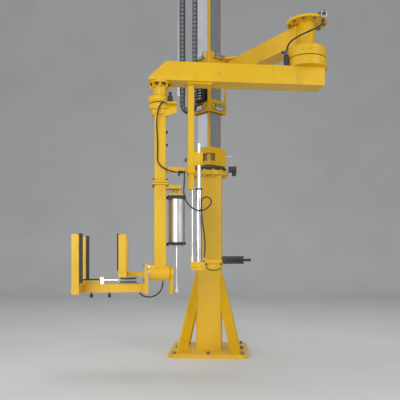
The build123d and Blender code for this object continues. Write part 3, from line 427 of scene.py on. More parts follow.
cloudy_group = build_cloudy_group()
soil_group = build_soil_group()
dust_group = build_dust_group()
brushed_group = build_brushed_group()
chips_group = build_chips_group()


def placed(tree, group, **values):
    """Puts a shared group into a material with its own values."""
    node = tree.nodes.new("ShaderNodeGroup")
    node.node_tree = group
    for key, value in values.items():
        feed(tree, node.inputs[key], value)
    return node.outputs


def new_material(name):
    """Starts a material and gives its tree and its main shader."""
    material = bpy.data.materials.new(name)
    material.use_nodes = True
    return material, material.node_tree, material.node_tree.nodes["Principled BSDF"]


def bumped(tree, shader, height, strength, distance):
    """Feeds a height through a Bump node to the shader's normal."""
    bump = add(tree, "Bump", Height=height, Strength=strength, Distance=distance)
    tree.links.new(bump.outputs[0], shader.inputs["Normal"])


def make_paint(name, colour, shade, dirt=0.25):
    """Sprayed enamel: cloudy colour, streaked grime, chips, dust and a faint orange peel."""
    material, tree, shader = new_material(name)
    cloudy = placed(tree, cloudy_group, Colour=(*colour, 1), Shade=(*shade, 1), Depth=0.45, Scale=2.2)
    soiled = placed(tree, soil_group, Colour=cloudy["Colour"], Grime=(0.13, 0.085, 0.02, 1), Amount=dirt,
                    Scale=7.0)
    chipped = placed(tree, chips_group, Colour=soiled["Colour"], Bare=(0.12, 0.10, 0.08, 1), Amount=0.4)
    dusty = placed(tree, dust_group, Colour=chipped["Colour"], Amount=0.16)
    tree.links.new(dusty["Colour"], shader.inputs["Base Color"])
    tree.links.new(stepped(tree, soiled["Mask"], 0.0, 1.0, 0.36, 0.58), shader.inputs["Roughness"])
    shader.inputs["Coat Weight"].default_value = 0.06
    shader.inputs["Specular IOR Level"].default_value = 0.36
    shader.inputs["Coat Roughness"].default_value = 0.25
    bumped(tree, shader, object_noise(tree, 240.0, 2.0), 0.10, 0.0006)
    return material


def make_metal(name, colour, shade, stretch, low, high, dirt=0.2, fine=420.0, relief=0.08):
    """Machined or drawn metal: fine lines along one direction under a thin film of dirt."""
    material, tree, shader = new_material(name)
    lines = placed(tree, brushed_group, Stretch=stretch, Scale=fine, Low=low, High=high)
    cloudy = placed(tree, cloudy_group, Colour=(*colour, 1), Shade=(*shade, 1), Depth=0.5, Scale=5.0)
    soiled = placed(tree, soil_group, Colour=cloudy["Colour"], Grime=(0.08, 0.07, 0.06, 1), Amount=dirt,
                    Scale=11.0)
    tree.links.new(soiled["Colour"], shader.inputs["Base Color"])
    tree.links.new(lines["Roughness"], shader.inputs["Roughness"])
    shader.inputs["Metallic"].default_value = 1.0
    bumped(tree, shader, lines["Lines"], relief, 0.0003)
    return material


def make_plastic(name, colour, shade, rough, grain=500.0, dust=0.25):
    """Moulded plastic or rubber: a fine grain, a cloudy tone and a little dust."""
    material, tree, shader = new_material(name)
    cloudy = placed(tree, cloudy_group, Colour=(*colour, 1), Shade=(*shade, 1), Depth=0.6, Scale=9.0)
    dusty = placed(tree, dust_group, Colour=cloudy["Colour"], Dust=(0.20, 0.19, 0.17, 1), Amount=dust)
    tree.links.new(dusty["Colour"], shader.inputs["Base Color"])
    tree.links.new(stepped(tree, cloudy["Mask"], 0.0, 1.0, rough, rough + 0.12), shader.inputs["Roughness"])
    bumped(tree, shader, object_noise(tree, grain, 2.0), 0.15, 0.0004)
    return material


# How far the lines of a metal are drawn out: the smaller the number, the longer along that axis
STREAKS, LONG_STREAKS = (1.0, 1.0, 0.02), (1.0, 1.0, 0.01)
CROSS_STREAKS, RUBBED = (1.0, 0.02, 1.0), (1.0, 1.0, 1.0)

yellow = make_paint("safety_yellow", (0.76, 0.458, 0.010), (0.64, 0.362, 0.008))
dark_coat = make_paint("black_coat", (0.022, 0.022, 0.024), (0.045, 0.044, 0.042), dirt=0.1)
steel = make_metal("machined_steel", (0.70, 0.70, 0.71), (0.58, 0.58, 0.59), LONG_STREAKS,
                   low=0.25, high=0.30, dirt=0.03, fine=70.0, relief=0.0)
chrome = make_metal("chromed_rod", (0.93, 0.93, 0.94), (0.86, 0.86, 0.87), STREAKS,
                    low=0.30, high=0.36, dirt=0.0, fine=40.0, relief=0.0)
alloy = make_metal("satin_alloy", (0.62, 0.62, 0.63), (0.52, 0.52, 0.53), STREAKS,
                   low=0.36, high=0.46, dirt=0.05, fine=60.0, relief=0.02)
zinc = make_metal("zinc_fastener", (0.50, 0.50, 0.49), (0.30, 0.29, 0.28), RUBBED,
                  low=0.30, high=0.50, dirt=0.4)
dull_zinc = make_metal("weathered_fastener", (0.26, 0.25, 0.23), (0.14, 0.13, 0.11), RUBBED,
                       low=0.42, high=0.60, dirt=0.5)
black = make_plastic("black_plastic", (0.020, 0.020, 0.022), (0.035, 0.035, 0.036), rough=0.42)
rubber = make_plastic("black_rubber", (0.022, 0.022, 0.023), (0.05, 0.048, 0.045), rough=0.62,
                      grain=900.0, dust=0.4)
hose_black = make_plastic("hose_cover", (0.010, 0.010, 0.011), (0.018, 0.018, 0.020), rough=0.46,
                          grain=800.0, dust=0.05)
barrel_steel = make_metal("barrel_steel", (0.36, 0.36, 0.38), (0.28, 0.28, 0.30), CROSS_STREAKS,
                          low=0.44, high=0.54, dirt=0.05, fine=60.0, relief=0.0)
# a pale non-metal: the P-clip ring's own white, and a painted highlight on the valve ports, gland rings and corner
# bearing
pale = make_plastic("pale_fitting_and_glint", (0.62, 0.62, 0.60), (0.46, 0.46, 0.45), rough=0.36)
chain_grey = make_plastic("chain_plastic", (0.045, 0.046, 0.054), (0.085, 0.086, 0.095), rough=0.45,
                          grain=700.0, dust=0.3)
# a light grey painted on the chain's joint bosses as highlights; the links themselves are dark
boss_highlight_grey = make_plastic("chain_boss", (0.20, 0.195, 0.22), (0.14, 0.14, 0.155), rough=0.38,
                         grain=700.0, dust=0.2)

SLOT_LOOKS = {"yellow_paint": yellow, "dark_metal": dark_coat, "steel": steel, "chrome_rod": chrome,
              "aluminium": alloy, "black_plastic": black, "black_rubber": rubber, "hose": hose_black}
NODE_LOOKS = {"energy_chain": chain_grey, "jaw_barrel": barrel_steel}


def dress_nodes():
    """Gives each carried-over solid the finish of its material slot, or its own where it has one."""
    for entry in frame["record"]["subparts"]:
        solid = nodes[entry["node"]]
        solid.data.materials.clear()
        solid.data.materials.append(NODE_LOOKS.get(entry["node"], SLOT_LOOKS[entry["material_slot"]]))


# Hoses

HOSE_R, ELBOW_HOSE_R, SWITCH_HOSE_R = 0.0065, 0.008, 0.0045

# The elbow's route is drawn about the elbow axis, and the others about the drop column
TUBE_ROUTE = [
    (-0.064, 0.128, 2.594), (-0.034, 0.128, 2.594), (-0.008, 0.127, 2.574), (0.012, 0.124, 2.540),
    (0.025, 0.118, 2.496), (0.034, 0.106, 2.436), (0.036, 0.090, 2.370), (0.030, 0.076, 2.280),
    (0.024, 0.070, 2.180), (0.027, 0.071, 2.098), (0.029, 0.074, 2.050), (0.016, 0.075, 2.010),
    (-0.016, 0.074, 1.977), (-0.062, 0.069, 1.955), (-0.107, 0.051, 1.944), (-0.144, 0.030, 1.940),
    (-0.172, 0.030, 1.940)]
HANDLE_ROUTE = [
    (-0.228, 0.056, 1.940), (-0.228, 0.088, 1.940), (-0.228, 0.116, 1.920), (-0.228, 0.126, 1.882),
    (-0.226, 0.116, 1.810), (-0.221, 0.104, 1.728), (-0.238, 0.098, 1.664), (-0.275, 0.092, 1.610),
    (-0.322, 0.086, 1.575), (-0.380, 0.081, 1.561), (-0.432, 0.077, 1.572), (-0.468, 0.073, 1.603),
    (-0.493, 0.069, 1.631), (-0.493, 0.065, 1.670), (-0.466, 0.061, 1.697), (-0.427, 0.057, 1.697),
    (-0.400, 0.053, 1.669), (-0.398, 0.050, 1.612), (-0.403, 0.048, 1.520), (-0.418, 0.045, 1.400),
    (-0.435, 0.038, 1.270), (-0.436, 0.028, 1.170), (-0.428, 0.020, 1.110), (-0.428, 0.020, 1.081)]
CLAMP_ROUTE = [
    (-0.030, -0.059, 0.8945), (-0.030, -0.0815, 0.8677), (-0.027, -0.092, 0.830), (-0.010, -0.092, 0.782),
    (0.028, -0.086, 0.742), (0.082, -0.076, 0.722), (0.135, -0.068, 0.722), (0.180, -0.064, 0.742),
    (0.208, -0.063, 0.782), (0.219, -0.062, 0.828), (0.2205, -0.062, 0.868)]
ELBOW_ROUTE = [
    (-0.212, -0.097, 3.095), (-0.212, -0.097, 3.143), (-0.201, -0.118, 3.186), (-0.173, -0.165, 3.217),
    (-0.095, -0.223, 3.244), (0.0, -0.245, 3.276), (0.085, -0.227, 3.318), (0.130, -0.194, 3.372),
    (0.138, -0.184, 3.416), (0.138, -0.184, 3.450)]
SWITCH_ROUTE = [
    (-0.447, 0.048, 1.036), (-0.447, 0.048, 1.016), (-0.460, 0.049, 0.998), (-0.486, 0.050, 0.988),
    (-0.520, 0.050, 0.985), (-0.554, 0.050, 0.989), (-0.580, 0.049, 1.000), (-0.592, 0.048, 1.017),
    (-0.592, 0.048, 1.036)]


def new_curve(name, route):
    """One open spline of order 3 that the route's points steer."""
    curve = bpy.data.curves.new(name, "CURVE")
    curve.dimensions = "3D"
    spline = curve.splines.new("NURBS")
    spline.points.add(len(route) - 1)
    for point, place in zip(spline.points, route):
        point.co = (*place, 1.0)
    spline.order_u = 3
    spline.use_endpoint_u = True
    spline.resolution_u = 10
    return curve


def make_hose(node, route, radius, body):
    """A hose held at both ends by one body, as a bevelled curve in place of its CAD tube."""
    curve = new_curve(node + "_line", route)
    curve.bevel_depth = radius
    curve.bevel_resolution = 5
    curve.use_fill_caps = True
    curve.materials.append(hose_black)
    piece = bpy.data.objects.new(node + "_cover", curve)
    bpy.context.scene.collection.objects.link(piece)
    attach(piece, body)
    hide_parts(node)


def make_bending_hose(node, route, radius):
    """A hose between two bodies, as a mesh tube along its route that rides on neither body."""
    curve = new_curve(node + "_line", route)
    holder = bpy.data.objects.new(node + "_line", curve)
    line = bpy.data.meshes.new_from_object(holder)
    path = np.array([vertex.co for vertex in line.vertices])
    bpy.data.objects.remove(holder)
    bpy.data.meshes.remove(line)
    piece = mesh_piece(node + "_cover", *tube(path, radius, 16), None, hose_black)
    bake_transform(piece)
    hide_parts(node)


def ferrule(route, radius, end=0):
    """The hexagon nut and crimped sleeve on one end of a hose, their radii in multiples of its own."""
    at, inner = np.array(route[end]), np.array(route[1 if end == 0 else -2])
    way = (inner - at) / np.linalg.norm(inner - at)
    nut = [(radius * 1.62, -0.001), (radius * 1.62, 0.009), (radius * 1.45, 0.0105)]
    crimp = [(radius * 1.42, 0.0105), (radius * 1.42, 0.0125), (radius * 1.22, 0.0135),
             (radius * 1.22, 0.024), (radius * 1.10, 0.0255)]
    return gathered([sleeve(at, way, nut, 6), sleeve(at, way, crimp, 18)])


def make_hoses():
    """All five hoses, the ferrules at their ends and the fittings about the elbow's hose, whose pale rings are
    painted glints.
    """
    tube_line, handle_line, clamp_line = in_wrist(TUBE_ROUTE), in_wrist(HANDLE_ROUTE), in_wrist(CLAMP_ROUTE)
    elbow_line, switch_line = in_elbow(ELBOW_ROUTE), in_wrist(SWITCH_ROUTE)
    make_hose("tube_hose", tube_line, HOSE_R, "forearm")
    make_hose("switch_hose", switch_line, SWITCH_HOSE_R, "handle")
    make_bending_hose("handle_hose", handle_line, HOSE_R)
    make_bending_hose("clamp_hose", clamp_line, HOSE_R)
    make_bending_hose("elbow_hose", elbow_line, ELBOW_HOSE_R)
    fitted("tube_ferrules", [ferrule(tube_line, HOSE_R), ferrule(tube_line, HOSE_R, -1),
                             ferrule(handle_line, HOSE_R)], in_room, "forearm", zinc)
    fitted("handle_ferrules", [ferrule(handle_line, HOSE_R, -1), ferrule(switch_line, SWITCH_HOSE_R),
                               ferrule(switch_line, SWITCH_HOSE_R, -1)], in_room, "handle", zinc)
    fitted("elbow_ferrule", [ferrule(elbow_line, ELBOW_HOSE_R, -1)], in_room, "upper_arm", zinc)
    fitted("elbow_clip", [ring_bead((0.138, -0.197, 3.452), 0.027, 0.0045, 1)], in_elbow, "upper_arm", pale)
    fitted("gland_ferrule", [ferrule(elbow_line, ELBOW_HOSE_R)], in_room, "forearm", zinc)
    foot, branch = elbow_line[0], (-1.0, -0.1, 0.25)
    branch_foot = foot + np.array([-0.012, 0.0, 0.028])
    branch_end = foot + np.array([-0.0532, -0.0041, 0.0383])
    fitted("gland_cluster", [
        sleeve(foot, UP, [(0.019, -0.001), (0.019, 0.016), (0.016, 0.019)], 6),
        sleeve(foot, UP, [(0.014, 0.018), (0.014, 0.040), (0.011, 0.043)], 20),
        sleeve(branch_foot, branch, [(0.010, 0.0), (0.010, 0.030), (0.013, 0.031), (0.013, 0.042),
                                     (0.008, 0.043)], 18)], in_room, "forearm", black)
    # pale rings on the black fittings, painted as glints
    fitted("gland_rings", [
        sleeve(foot, UP, [(0.0165, 0.0190), (0.0165, 0.0225), (0.014, 0.0230)], 20),
        sleeve(branch_end, branch, [(0.0095, 0.0), (0.0095, 0.004), (0.004, 0.006)], 18)],
        in_room, "forearm", pale)
    fitted("hub_ferrule", [ferrule(clamp_line, HOSE_R)], in_room, "wrist", zinc)
    fitted("clamp_ferrule", [ferrule(clamp_line, HOSE_R, -1)], in_room, "tilting_head", zinc)


# Fasteners and welds

def make_base_details():
    """Floor anchors, flange bolts, the welds at the column's foot, legs and flange, and one stay."""
    plate_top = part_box("base_plate")[1][2]
    rows = (-0.380, 0.0, 0.380)
    anchors = [(x, y, plate_top) for x in rows for y in rows if x or y]
    stud = lathe([(0.011, 0.016), (0.011, 0.026), (0.009, 0.029)], 16)
    fitted("anchor_bolts", [spread(gathered([hex_bolt(0.020, 0.016), stud]), anchors)], in_room, "base",
           dull_zinc)
    flange_low, flange_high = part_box("column_flange")[0][2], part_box("mast_flange")[1][2]
    circle, head_r, count = 0.192, 0.0165, 12
    bolts = []
    for angle in np.radians(15.0 + 360.0 / count * np.arange(count)):
        x, y = circle * math.cos(angle), circle * math.sin(angle)
        bolts += [spread(hex_bolt(head_r, 0.013), [(x, y, flange_high)]),
                  spread(hex_bolt(head_r, 0.016), [(x, y, flange_low)], DOWN)]
    fitted("flange_bolts", bolts, in_room, "base", yellow)
    column_half, leg_half, leg_bead_r = 0.150, 0.0125, 0.005
    foot_z, foot_in, foot_out = plate_top + 0.002, 0.361, 0.495
    seam_reach, seam_low, seam_high = 0.206, 0.545, 0.885
    welds = [bead(square_loop(column_half, column_half, foot_z), 0.007),
             bead(square_loop(column_half, column_half, flange_low - 0.002), 0.006)]
    for turn in np.radians([45.0, 135.0, 225.0, 315.0]):
        for shift in (-leg_half, leg_half):
            foot = bead([(foot_in, shift, foot_z), (foot_out, shift, foot_z)], leg_bead_r)
            seam = bead([(seam_reach, shift, seam_low), (seam_reach, shift, seam_high)], leg_bead_r)
            welds += [(turned(points, turn), faces) for points, faces in (foot, seam)]
    fitted("base_welds", welds, in_room, "base", yellow)
    stay_low, stay_high, rod_r = 2.296, 2.304, 0.0055
    stay = [soft_box((0.120, -0.012, stay_low), (0.268, 0.012, stay_high), 0.001),
            sleeve((0.256, 0.0, stay_low), DOWN, [(rod_r, 0.0), (rod_r, 0.118)], 12)]
    fitted("supply_stay", stay, in_room, "base", zinc)


def make_chain_details():
    """Round joint bosses on the chain's side plates, one a pitch up both runs and four round the bend, painted a
    light grey that stands in for highlights.
    """
    low, high = np.array(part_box("energy_chain"))
    bend_r, link_half, pitch = 0.070, 0.025, 0.046
    centre_x, centre_z = (low[0] + high[0]) / 2, low[2] + bend_r + link_half
    run = high[2] - centre_z
    count = round(run / pitch)
    heights = centre_z + run * np.arange(count) / count
    places = [(centre_x + side * bend_r, z) for side in (-1, 1) for z in heights]
    for turn in np.radians([36.0, 72.0, 108.0, 144.0]):
        places.append((centre_x - bend_r * math.cos(turn), centre_z - bend_r * math.sin(turn)))
    boss = lathe([(0.017, -0.001), (0.017, 0.0012), (0.0155, 0.002), (0.006, 0.002), (0.005, 0.003)], 14)
    sides = [spread(boss, [(x, y, z) for x, z in places], way)
             for y, way in ((low[1], TOWARD), (high[1], AWAY))]
    fitted("chain_bosses", sides, in_room, "base", boss_highlight_grey)


def make_carriage_details():
    """Axle ends and block screws of the rollers, a bearing and the valves' ports painted pale as highlights, the
    valves' coils, shoulder bolts.
    """
    roller_heights, roller_side, axle_x, block_face = (2.860, 3.450), 0.078, 0.1415, 0.171
    axle_reach, screw_half, bearing_y = 0.010, 0.019, 0.0885
    axle = lathe([(0.012, 0.0), (0.012, 0.004), (0.010, 0.006)], 16)
    screws, ends = [], []
    for quarter in range(4):
        for z in roller_heights:
            for side in (-1.0, 1.0):
                y = side * roller_side
                end = [(axle_x, y + side * axle_reach, z)]
                ends.append(on_face(spread(axle, end, (0.0, side, 0.0)), quarter))
                pair = [(block_face, y, z + dz) for dz in (-screw_half, screw_half)]
                screws.append(on_face(spread(socket_screw(0.007, 0.007), pair, OUT), quarter))
    bearing = lathe([(0.030, 0.0), (0.030, 0.008), (0.027, 0.010), (0.020, 0.010), (0.018, 0.007),
                     (0.012, 0.007), (0.011, 0.012)], 32)
    valve_side = 2  # the mast face that the valve block stands on
    corner = spread(bearing, [(axle_x, bearing_y, roller_heights[1])], AWAY)
    # the bearing is painted pale as a highlight
    fitted("corner_bearing", [on_face(corner, valve_side)], in_room, "carriage", pale)
    fitted("axle_ends", ends, in_room, "carriage", alloy)
    fitted("block_screws", screws, in_room, "carriage", zinc)
    rows, valve_low, valve_high, valve_face, coil_face = 6, 2.913, 3.097, 0.226, 0.250
    coil_half_y, coil_half_z = 0.017, 0.011
    step = (valve_high - valve_low) / rows
    port = lathe([(0.0085, 0.0), (0.0085, 0.008), (0.007, 0.010), (0.007, 0.020), (0.005, 0.022)], 14)
    ports, coils = [], []
    for row in range(rows):
        z = valve_low + step * (row + 0.5)
        across = (-0.070, -0.035, 0.035, 0.062 + 0.014 * (row % 2), 0.093)
        ports += [on_face(spread(port, [(valve_face, y, z)], OUT), valve_side) for y in across]
        low, high = z - coil_half_z, z + coil_half_z
        coil = soft_box((valve_face, -coil_half_y, low), (coil_face, coil_half_y, high))
        coils.append(on_face(coil, valve_side))
    # the ports are painted pale as glints on the black valve block
    fitted("valve_ports", ports, in_room, "carriage", pale)
    fitted("valve_coils", coils, in_room, "carriage", black)
    circle, bolts = 0.045, []
    for z, way in ((3.477, UP), (3.189, DOWN)):
        for angle in np.radians([20.0, 140.0, 260.0]):
            at = (SHOULDER[0] + circle * math.cos(angle), SHOULDER[1] + circle * math.sin(angle), z)
            bolts.append(spread(hex_bolt(0.010, 0.008), [at], way))
    fitted("shoulder_bolts", bolts, in_room, "carriage", zinc)


def make_arm_details():
    """Disc bolts, the neck's wedges and welds, the hub's welds, and the nose's nuts and welds."""
    disc_low, disc_high, disc_circle, head_r, count, bead_r = 3.440, 3.464, 0.170, 0.0135, 10, 0.004
    bolts = []
    for angle in 2 * math.pi * np.arange(count) / count:
        x, y = disc_circle * math.cos(angle), disc_circle * math.sin(angle)
        bolts += [spread(hex_bolt(head_r, 0.011), [(x, y, disc_low)], DOWN),
                  spread(hex_bolt(head_r, 0.009), [(x, y, disc_high)])]
    fitted("disc_bolts", bolts, in_elbow, "upper_arm", dull_zinc)
    butt = UPPER_LENGTH - 0.080  # just inside the beam's closed end
    beam_low, beam_high, beam_half = 3.2385, 3.4275, 0.0945
    drum_y, tip_x, tip_y = 0.028, UPPER_LENGTH - 0.042, 0.0727  # where the wedge meets the drum
    wedges = []
    for side in (-1, 1):
        plan = [(butt, side * drum_y), (butt, side * beam_half), (tip_x, side * tip_y)]
        wedges.append(prism(plan[::-side], beam_low, beam_high))
    fitted("neck_fairings", wedges, in_upper, "upper_arm", yellow)
    neck_r, neck_heights, turns = 0.084, (3.238, 3.428), np.linspace(-1.0, 1.0, 9)
    welds = [bead([(UPPER_LENGTH - neck_r * math.cos(t), neck_r * math.sin(t), z) for t in turns], bead_r)
             for z in neck_heights]
    fitted("neck_welds", welds, in_upper, "upper_arm", yellow)
    drum_r, drum_ends = 0.085, (3.4385, 3.1855)
    fitted("hub_welds", [ring_bead((0.0, 0.0, z), drum_r, bead_r) for z in drum_ends], in_elbow,
           "upper_arm", yellow)
    nose_circle, nose_low, count = 0.090, 2.787, 8
    nut = gathered([hex_bolt(0.0125, 0.012), lathe([(0.007, 0.012), (0.007, 0.024), (0.0055, 0.026)], 12)])
    nuts = [spread(nut, [(nose_circle * math.cos(angle), nose_circle * math.sin(angle), nose_low)], DOWN)
            for angle in 2 * math.pi * (np.arange(count) + 0.5) / count]
    fitted("nose_nuts", nuts, in_wrist, "forearm", black)
    neck_r, neck_ends, tube_half, tube_ends = 0.069, (2.785, 2.6685), 0.0555, (2.485, 1.8545)
    welds = [ring_bead((0.0, 0.0, z), neck_r, bead_r) for z in neck_ends]
    welds += [bead(square_loop(tube_half, tube_half, z), bead_r) for z in tube_ends]
    fitted("nose_welds", welds, in_wrist, "forearm", yellow)


def make_drop_details():
    """Swivel bolts, the tilt cylinder's nuts, studs and ports, and the hub's screws and rims."""
    corners = [(sx, sy) for sx in (-1, 1) for sy in (-1, 1)]
    swivel, swivel_top, swivel_low = 0.064, 1.853, 1.812
    heads = [(sx * swivel, sy * swivel, swivel_top) for sx, sy in corners]
    fitted("swivel_bolts", [spread(hex_bolt(0.012, 0.010), heads)], in_wrist, "forearm", black)
    under = [(sx * swivel, sy * swivel, swivel_low) for sx, sy in corners]
    fitted("swivel_nuts", [spread(hex_bolt(0.012, 0.012), under, DOWN)], in_wrist, "wrist", dull_zinc)
    axis_x, axis_y, tie = -0.166, -0.0667, 0.069
    plate_top, cap_low, arm_low = 1.729, 1.232, 1.778
    studs = ((-0.190, -0.024), (-0.150, -0.024), (-0.116, -0.024), (-0.190, -0.104), (-0.116, -0.104))
    nuts = []
    for sx, sy in corners:
        x, y = axis_x + sx * tie, axis_y + sy * tie
        nuts += [spread(hex_bolt(0.012, 0.010), [(x, y, plate_top)]),
                 spread(hex_bolt(0.012, 0.010), [(x, y, cap_low)], DOWN)]
    for x, y in studs:
        nuts.append(tube([(x, y, plate_top - 0.001), (x, y, 1.750), (x, y, arm_low + 0.001)], 0.006, 12))
        nuts.append(spread(hex_bolt(0.011, 0.009), [(x, y, plate_top)]))
    fitted("tie_nuts", nuts, in_wrist, "wrist", zinc)
    port = [(0.011, 0.0), (0.011, 0.010), (0.008, 0.012), (0.008, 0.024)]
    bend = [(0.009, 0.0), (0.009, 0.026), (0.0075, 0.028)]
    cap_face, bend_x, port_y, bend_rise = axis_x + 0.084, axis_x + 0.100, axis_y + 0.045, 0.006
    ports = []
    for z in (1.700, 1.246):
        ports += [sleeve((cap_face, port_y, z), OUT, port, 16),
                  sleeve((bend_x, port_y, z + bend_rise), DOWN, bend, 16)]
    fitted("cylinder_ports", ports, in_wrist, "wrist", black)
    screw_circle, hub_right, hub_left, hub_r, rim_r = 0.060, 0.098, -0.089, 0.0785, 0.0025
    screws = [spread(socket_screw(0.008, 0.008),
                     [(hub_right, screw_circle * math.cos(a), HUB_Z + screw_circle * math.sin(a))], OUT)
              for a in np.radians([45.0, 135.0, 225.0, 315.0])]
    fitted("bearing_screws", screws, in_wrist, "wrist", zinc)
    rims = [ring_bead((x, 0.0, HUB_Z), hub_r, rim_r, 0) for x in (hub_right - 0.001, hub_left)]
    fitted("barrel_rims", rims, in_wrist, "wrist", yellow)


def make_clamp_details():
    """Bolts, welds and pad screws of both jaws, the clamp's knobs and the rest strip."""
    fixed_x, moving_x, jaw_y, post_half, bead_r = 0.350, 0.770, 0.280, 0.0355, 0.003
    fixed_foot, moving_foot, sole = 0.973, 0.858, 0.932
    tool_face, tool_half, bolt_half = 0.150, 0.071, 0.018
    tool = [(tool_face, y, z) for y in (-tool_half, tool_half) for z in (1.030, 0.890)]
    fitted("tool_bolts", [spread(hex_bolt(0.0115, 0.010), tool, OUT)], in_wrist, "tilting_head", dull_zinc)
    under = [(fixed_x + dx, y, sole) for y in (-jaw_y, jaw_y) for dx in (-bolt_half, bolt_half)]
    fitted("jaw_bolts", [spread(hex_bolt(0.009, 0.008), under, DOWN)], in_wrist, "tilting_head", zinc)
    welds = [bead(square_loop(post_half, post_half, fixed_foot, (fixed_x, y)), bead_r)
             for y in (-jaw_y, jaw_y)]
    fitted("fixed_welds", welds, in_wrist, "tilting_head", yellow)
    welds = [bead(square_loop(post_half, post_half, moving_foot, (moving_x, y)), bead_r)
             for y in (-jaw_y, jaw_y)]
    beam_half, beam_low, beam_top = 0.041, 0.777, 0.857
    arch = ((-beam_half, beam_low), (-beam_half, beam_top), (beam_half, beam_top), (beam_half, beam_low))
    welds.append(bead([(moving_x - post_half, y, z) for y, z in arch], bead_r))
    fitted("moving_welds", welds, in_wrist, "moving_jaw", yellow)
    screw, fixed_pad_face, moving_pad_face = socket_screw(0.007, 0.004), 0.398, 0.709
    rows = [(fixed_pad_face, y, z) for y in (-jaw_y, jaw_y) for z in (1.03, 1.15, 1.27)]
    fitted("fixed_pad_screws", [spread(screw, rows, OUT)], in_wrist, "tilting_head", zinc)
    rows = [(moving_pad_face, y, z) for y in (-jaw_y, jaw_y) for z in (0.92, 1.10, 1.27)]
    fitted("moving_pad_screws", [spread(screw, rows, BACK)], in_wrist, "moving_jaw", zinc)
    knob = lathe([(0.008, 0.0), (0.008, 0.020), (0.014, 0.022), (0.016, 0.026), (0.016, 0.046),
                  (0.013, 0.050), (0.006, 0.051)], 10)
    knobs = spread(knob, [(x, 0.0, beam_low) for x in (0.486, 0.657)], DOWN)
    fitted("beam_knobs", [knobs], in_wrist, "moving_jaw", black)
    strip = soft_box((0.584, -0.022, 0.893), (0.783, 0.022, 0.906), 0.003)
    fitted("rest_strip", [strip], in_wrist, "moving_jaw", rubber)


def make_handle_details():
    """Ridged grip, switch buttons, bracket and clamp screws, and the post's sensor and tube clips."""
    groove_r, ridge_r, ridge_pitch, ridge_count = 0.0193, 0.0215, 0.012, 13
    ridges = []
    for start in 0.004 + ridge_pitch * np.arange(ridge_count):
        ridges += [(groove_r, start), (ridge_r, start + 0.002), (ridge_r, start + 0.008),
                   (groove_r, start + 0.010)]
    grip_z, grip_start, grip_end = 1.086, -0.659, -0.885
    grip = sleeve((grip_start, 0.0, grip_z), BACK, ridges, 24)
    end_cap = [(0.013, -0.002), (0.0155, 0.0), (0.0155, 0.006), (0.012, 0.009)]
    knob = sleeve((grip_end, 0.0, grip_z), BACK, end_cap)
    fitted("grip_sleeve", [grip, knob], in_wrist, "handle", rubber)
    box_face, bracket_face, clamp_face, link_face = 0.038, 0.032, 0.030, 0.038
    button = [(0.0105, -0.001), (0.0105, 0.003), (0.008, 0.0035), (0.008, 0.008), (0.006, 0.0095)]
    spots = ((-0.620, 1.098), (-0.648, 1.098), (-0.634, 1.072))
    fitted("switch_buttons", [sleeve((x, box_face, z), AWAY, button) for x, z in spots], in_wrist, "handle",
           chain_grey)
    along = [(x, bracket_face, 1.015) for x in (-0.310, -0.345, -0.405)]
    round_box = [(x, box_face, z) for x in (-0.614, -0.654) for z in (1.054, 1.118)]
    fitted("bracket_screws", [spread(socket_screw(0.0055, 0.005), along, AWAY),
                              spread(socket_screw(0.004, 0.003), round_box, AWAY)],
           in_wrist, "handle", dull_zinc)
    on_clamp = [(x, clamp_face, z) for x in (-0.352, -0.400) for z in (2.035, 2.112)]
    on_link = [(x, link_face, z) for x in (-0.276, -0.324) for z in (1.935, 1.993)]
    on_boom = [(x, y, 2.790) for x in (-0.285, -0.480) for y in (-0.050, 0.050)]
    fitted("clamp_screws", [spread(socket_screw(0.0065, 0.006), on_clamp, AWAY),
                            spread(hex_bolt(0.008, 0.007), on_link, AWAY),
                            spread(hex_bolt(0.010, 0.009), on_boom, DOWN)], in_wrist, "forearm", yellow)
    shelf_low, shelf_high = 2.078, 2.083
    angle = [soft_box((-0.270, -0.012, shelf_low), (-0.226, 0.012, shelf_high), 0.001),
             soft_box((-0.232, -0.012, 2.028), (-0.226, 0.012, shelf_high), 0.001)]
    fitted("sensor_bracket", angle, in_wrist, "forearm", zinc)
    switch = sleeve((-0.249, 0.0, shelf_low), DOWN, [(0.009, 0.0), (0.009, 0.030), (0.006, 0.034)], 16)
    fitted("sensor_body", [switch], in_wrist, "forearm", black)
    clips = [soft_box((-0.075, -0.014, z - 0.012), (-0.055, 0.014, z + 0.012)) for z in (2.205, 2.330)]
    fitted("tube_clips", clips, in_wrist, "forearm", black)


# Stage

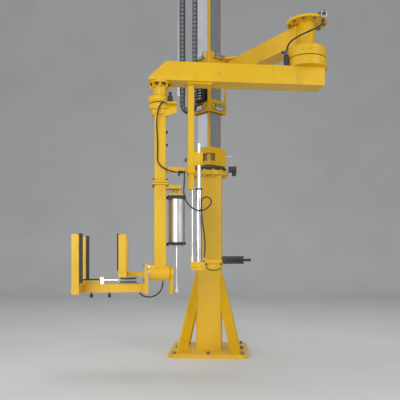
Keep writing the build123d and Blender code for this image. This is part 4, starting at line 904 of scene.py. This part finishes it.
def make_floor():
    """A pale floor and wall joined by a quarter circle: y = depth + r sin t, z = r (1 - cos t)."""
    size, depth, radius = 14.0, 9.0, 3.0  # wall height, start of the curve and its radius
    t = np.linspace(0.0, math.pi / 2, 24)
    y = np.concatenate([[-size], depth + radius * np.sin(t), [depth + radius]])
    z = np.concatenate([[0.0], radius * (1 - np.cos(t)), [size]])
    x = np.array([-size * 2, size * 2])
    points = np.stack([np.repeat(x, len(y)), np.tile(y, 2), np.tile(z, 2)], -1)
    n = len(y)
    faces = [[i, n + i, n + i + 1, i + 1] for i in range(n - 1)]
    material, tree, shader = new_material("pale_floor")
    shade = placed(tree, cloudy_group, Colour=(0.62, 0.62, 0.61, 1), Shade=(0.57, 0.57, 0.56, 1), Depth=0.5,
                   Scale=0.8)
    tree.links.new(shade["Colour"], shader.inputs["Base Color"])
    shader.inputs["Roughness"].default_value = 0.6
    mesh = bpy.data.meshes.new("studio_floor")
    mesh.from_pydata(points.tolist(), [], faces)
    mesh.shade_smooth()
    mesh.materials.append(material)
    floor = bpy.data.objects.new("studio_floor", mesh)
    bpy.context.scene.collection.objects.link(floor)


def make_light():
    """Soft lamps in front, overhead and to the right, under a sky that is brighter on the left."""
    world = bpy.data.worlds.new("studio_sky")
    world.use_nodes = True
    bpy.context.scene.world = world
    tree = world.node_tree
    across = add(tree, "SeparateXYZ", _0=add(tree, "TexCoord").outputs["Generated"]).outputs[0]
    level = add(tree, "MapRange", Value=across, From_Min=-1.0, From_Max=1.0, To_Min=0.72,
                To_Max=0.20).outputs[0]
    sky = tree.nodes["Background"]
    sky.inputs["Color"].default_value = (0.93, 0.96, 1.0, 1)
    tree.links.new(level, sky.inputs["Strength"])
    for name, place, aim, size, power in (
            ("key_light", (-1.8, -7.4, 2.4), (-0.1, -0.4, 0.8), 3.6, 200.0),
            ("top_light", (-0.6, 0.5, 8.6), (0.0, -0.3, 2.0), 5.0, 250.0),
            ("side_light", (5.2, -5.0, 3.4), (0.2, -0.4, 1.2), 4.0, 120.0)):
        lamp = bpy.data.lights.new(name, "AREA")
        lamp.shape = "DISK"
        lamp.size = size
        lamp.energy = power
        holder = bpy.data.objects.new(name, lamp)
        bpy.context.scene.collection.objects.link(holder)
        holder.location = place
        back = np.array(place) - np.array(aim)
        away = math.atan2(back[1], back[0])
        tilt = math.acos(back[2] / np.linalg.norm(back))
        holder.rotation_euler = (0.0, tilt, away)


def make_camera():
    """The photograph's camera: level, about waist high, its frame shifted up."""
    camera = bpy.data.cameras.new("photo_camera")
    camera.sensor_width = 36.0
    camera.lens = 47.5
    camera.shift_y = 0.145
    camera.clip_end = 60.0
    holder = bpy.data.objects.new("photo_camera", camera)
    bpy.context.scene.collection.objects.link(holder)
    holder.location = (0.243, -6.244, 1.106)
    holder.rotation_euler = (math.radians(90.0), 0.0, math.radians(3.25))
    bpy.context.scene.camera = holder


dress_nodes()
make_hoses()
make_base_details()
make_chain_details()
make_carriage_details()
make_arm_details()
make_drop_details()
make_clamp_details()
make_handle_details()
make_floor()
make_light()
make_camera()
bpy.context.scene.view_settings.view_transform = "Standard"
